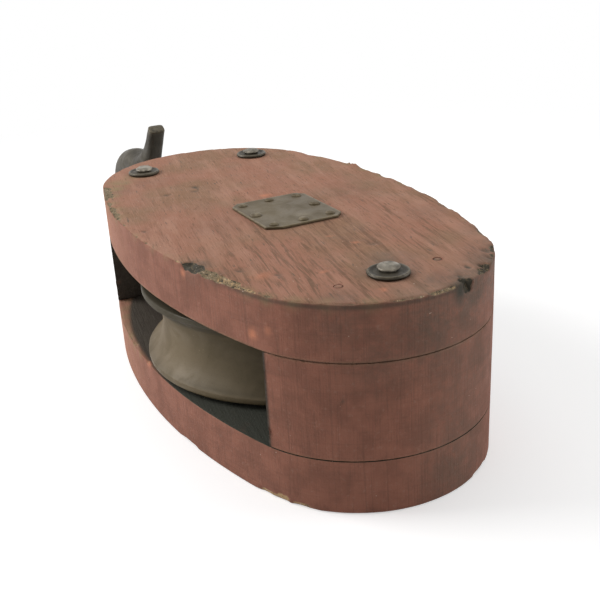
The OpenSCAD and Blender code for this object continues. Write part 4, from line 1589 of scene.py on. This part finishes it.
@dataclass
class Studio:
    """A pale floor, soft light and the camera."""

    camera_place: Place = (0.2811, -0.1330, 0.1657)
    camera_right: Place = (0.4565, 0.8882, -0.0524)
    camera_up: Place = (-0.3250, 0.2212, 0.9195)
    lens: float = 54.02
    sky: float = 0.30
    floor: float = 0.80
    lift: float = 0.42
    floor_near: float = 0.22
    floor_far: float = 0.55

    def build_camera(self) -> None:
        """Makes the camera."""
        data = bpy.data.cameras.new("camera")
        data.lens, data.sensor_width = self.lens, 36
        data.clip_start, data.clip_end = 0.01, 20
        obj = bpy.data.objects.new("camera", data)
        bpy.context.scene.collection.objects.link(obj)
        right, up = Vector(self.camera_right).normalized(), Vector(self.camera_up).normalized()
        turn = Matrix((right, up, right.cross(up))).transposed().to_4x4()
        obj.matrix_world = Matrix.Translation(self.camera_place) @ turn
        bpy.context.scene.camera = obj

    def lamp(self, name: str, place: Place, size: float, power: float, target: Place = (0, 0, 0.03)) -> None:
        """A soft square lamp.

        Args:
            name: Its name.
            place: Where it stands, in metres.
            size: Its width in metres.
            power: Its power in watts.
            target: The point that it faces.
        """
        data = bpy.data.lights.new(name, "AREA")
        data.size, data.energy = size, power
        obj = bpy.data.objects.new(name, data)
        bpy.context.scene.collection.objects.link(obj)
        obj.location = place
        obj.rotation_mode = "QUATERNION"
        obj.rotation_quaternion = (Vector(target) - Vector(place)).to_track_quat("-Z", "Y")

    def seen(self, tree: bpy.types.NodeTree) -> bpy.types.NodeSocket:
        """1 for what the camera, a reflection or a refraction sees, and 0 for light."""
        path = tree.nodes.new("ShaderNodeLightPath")
        value = path.outputs["Is Camera Ray"]
        for name in ("Is Glossy Ray", "Is Transmission Ray"):
            step = tree.nodes.new("ShaderNodeMath")
            step.operation, step.use_clamp = "ADD", True
            tree.links.new(value, step.inputs[0])
            tree.links.new(path.outputs[name], step.inputs[1])
            value = step.outputs[0]
        return value

    def build_world(self) -> None:
        """An even sky that is white wherever it is seen."""
        world = bpy.data.worlds.new("soft_sky")
        bpy.context.scene.world = world
        world.use_nodes = True
        tree = world.node_tree
        back = next(n for n in tree.nodes if n.type == "BACKGROUND")
        back.inputs["Color"].default_value = (1, 1, 1, 1)
        strength = tree.nodes.new("ShaderNodeMapRange")
        tree.links.new(self.seen(tree), strength.inputs["Value"])
        strength.inputs["To Min"].default_value, strength.inputs["To Max"].default_value = self.sky, 1.0
        tree.links.new(strength.outputs["Result"], back.inputs["Strength"])

    def build_floor(self) -> None:
        """A pale floor that keeps the block's shadow and fades to white further out."""
        work = bmesh.new()
        bmesh.ops.create_circle(work, cap_ends=True, segments=96, radius=4.0)
        mesh = bpy.data.meshes.new("floor")
        work.to_mesh(mesh)
        work.free()
        floor = loose_object(mesh, "floor")
        floor.location.z = -0.00002
        material = bpy.data.materials.new("white_table")
        material.use_nodes = True
        tree = material.node_tree
        tree.nodes.remove(next(n for n in tree.nodes if n.type == "BSDF_PRINCIPLED"))
        out = next(n for n in tree.nodes if n.type == "OUTPUT_MATERIAL")
        paper = tree.nodes.new("ShaderNodeBsdfDiffuse")
        glow, white = (tree.nodes.new("ShaderNodeEmission") for _ in range(2))
        paper.inputs["Color"].default_value = (self.floor, self.floor, self.floor, 1)
        seen = self.seen(tree)
        amount = tree.nodes.new("ShaderNodeMath")
        amount.operation = "MULTIPLY"
        tree.links.new(seen, amount.inputs[0])
        amount.inputs[1].default_value = self.lift
        tree.links.new(amount.outputs[0], glow.inputs["Strength"])
        both = tree.nodes.new("ShaderNodeAddShader")
        tree.links.new(paper.outputs[0], both.inputs[0])
        tree.links.new(glow.outputs[0], both.inputs[1])
        coords, length = tree.nodes.new("ShaderNodeTexCoord"), tree.nodes.new("ShaderNodeVectorMath")
        far = tree.nodes.new("ShaderNodeMapRange")
        length.operation, far.interpolation_type = "LENGTH", "SMOOTHSTEP"
        tree.links.new(coords.outputs["Object"], length.inputs[0])
        tree.links.new(length.outputs["Value"], far.inputs["Value"])
        far.inputs["From Min"].default_value = self.floor_near
        far.inputs["From Max"].default_value = self.floor_far
        share = tree.nodes.new("ShaderNodeMath")
        share.operation = "MULTIPLY"
        tree.links.new(far.outputs["Result"], share.inputs[0])
        tree.links.new(seen, share.inputs[1])
        fade = tree.nodes.new("ShaderNodeMixShader")
        tree.links.new(share.outputs[0], fade.inputs[0])
        tree.links.new(both.outputs[0], fade.inputs[1])
        tree.links.new(white.outputs[0], fade.inputs[2])
        tree.links.new(fade.outputs[0], out.inputs["Surface"])
        mesh.materials.append(material)

    def build(self) -> None:
        """Makes the camera, lamps, sky and floor."""
        bpy.context.scene.view_settings.view_transform = "Standard"
        self.build_camera()
        self.build_world()
        self.build_floor()
        self.lamp("left_window", (-0.58, -0.76, 0.62), 0.6, 9.4)
        self.lamp("overhead", (-0.10, 0.10, 1.10), 0.9, 3.0)
        self.lamp("far_right", (0.42, 0.80, 0.30), 0.5, 2.6, (0.08, 0.03, 0.035))


def main() -> None:
    """Builds the studio and every sub-assembly."""
    logging.basicConfig(level=logging.INFO, format="%(name)s: %(message)s")
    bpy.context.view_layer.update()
    shop = Workshop()
    Studio().build()
    Shell().build(shop)
    Sheave().build(shop)
    SwivelHook().build(shop)
    Fastenings().build(shop)
    PinPlates().build(shop)
    LOG.info("sizes written")


if __name__ == "__main__":
    main()
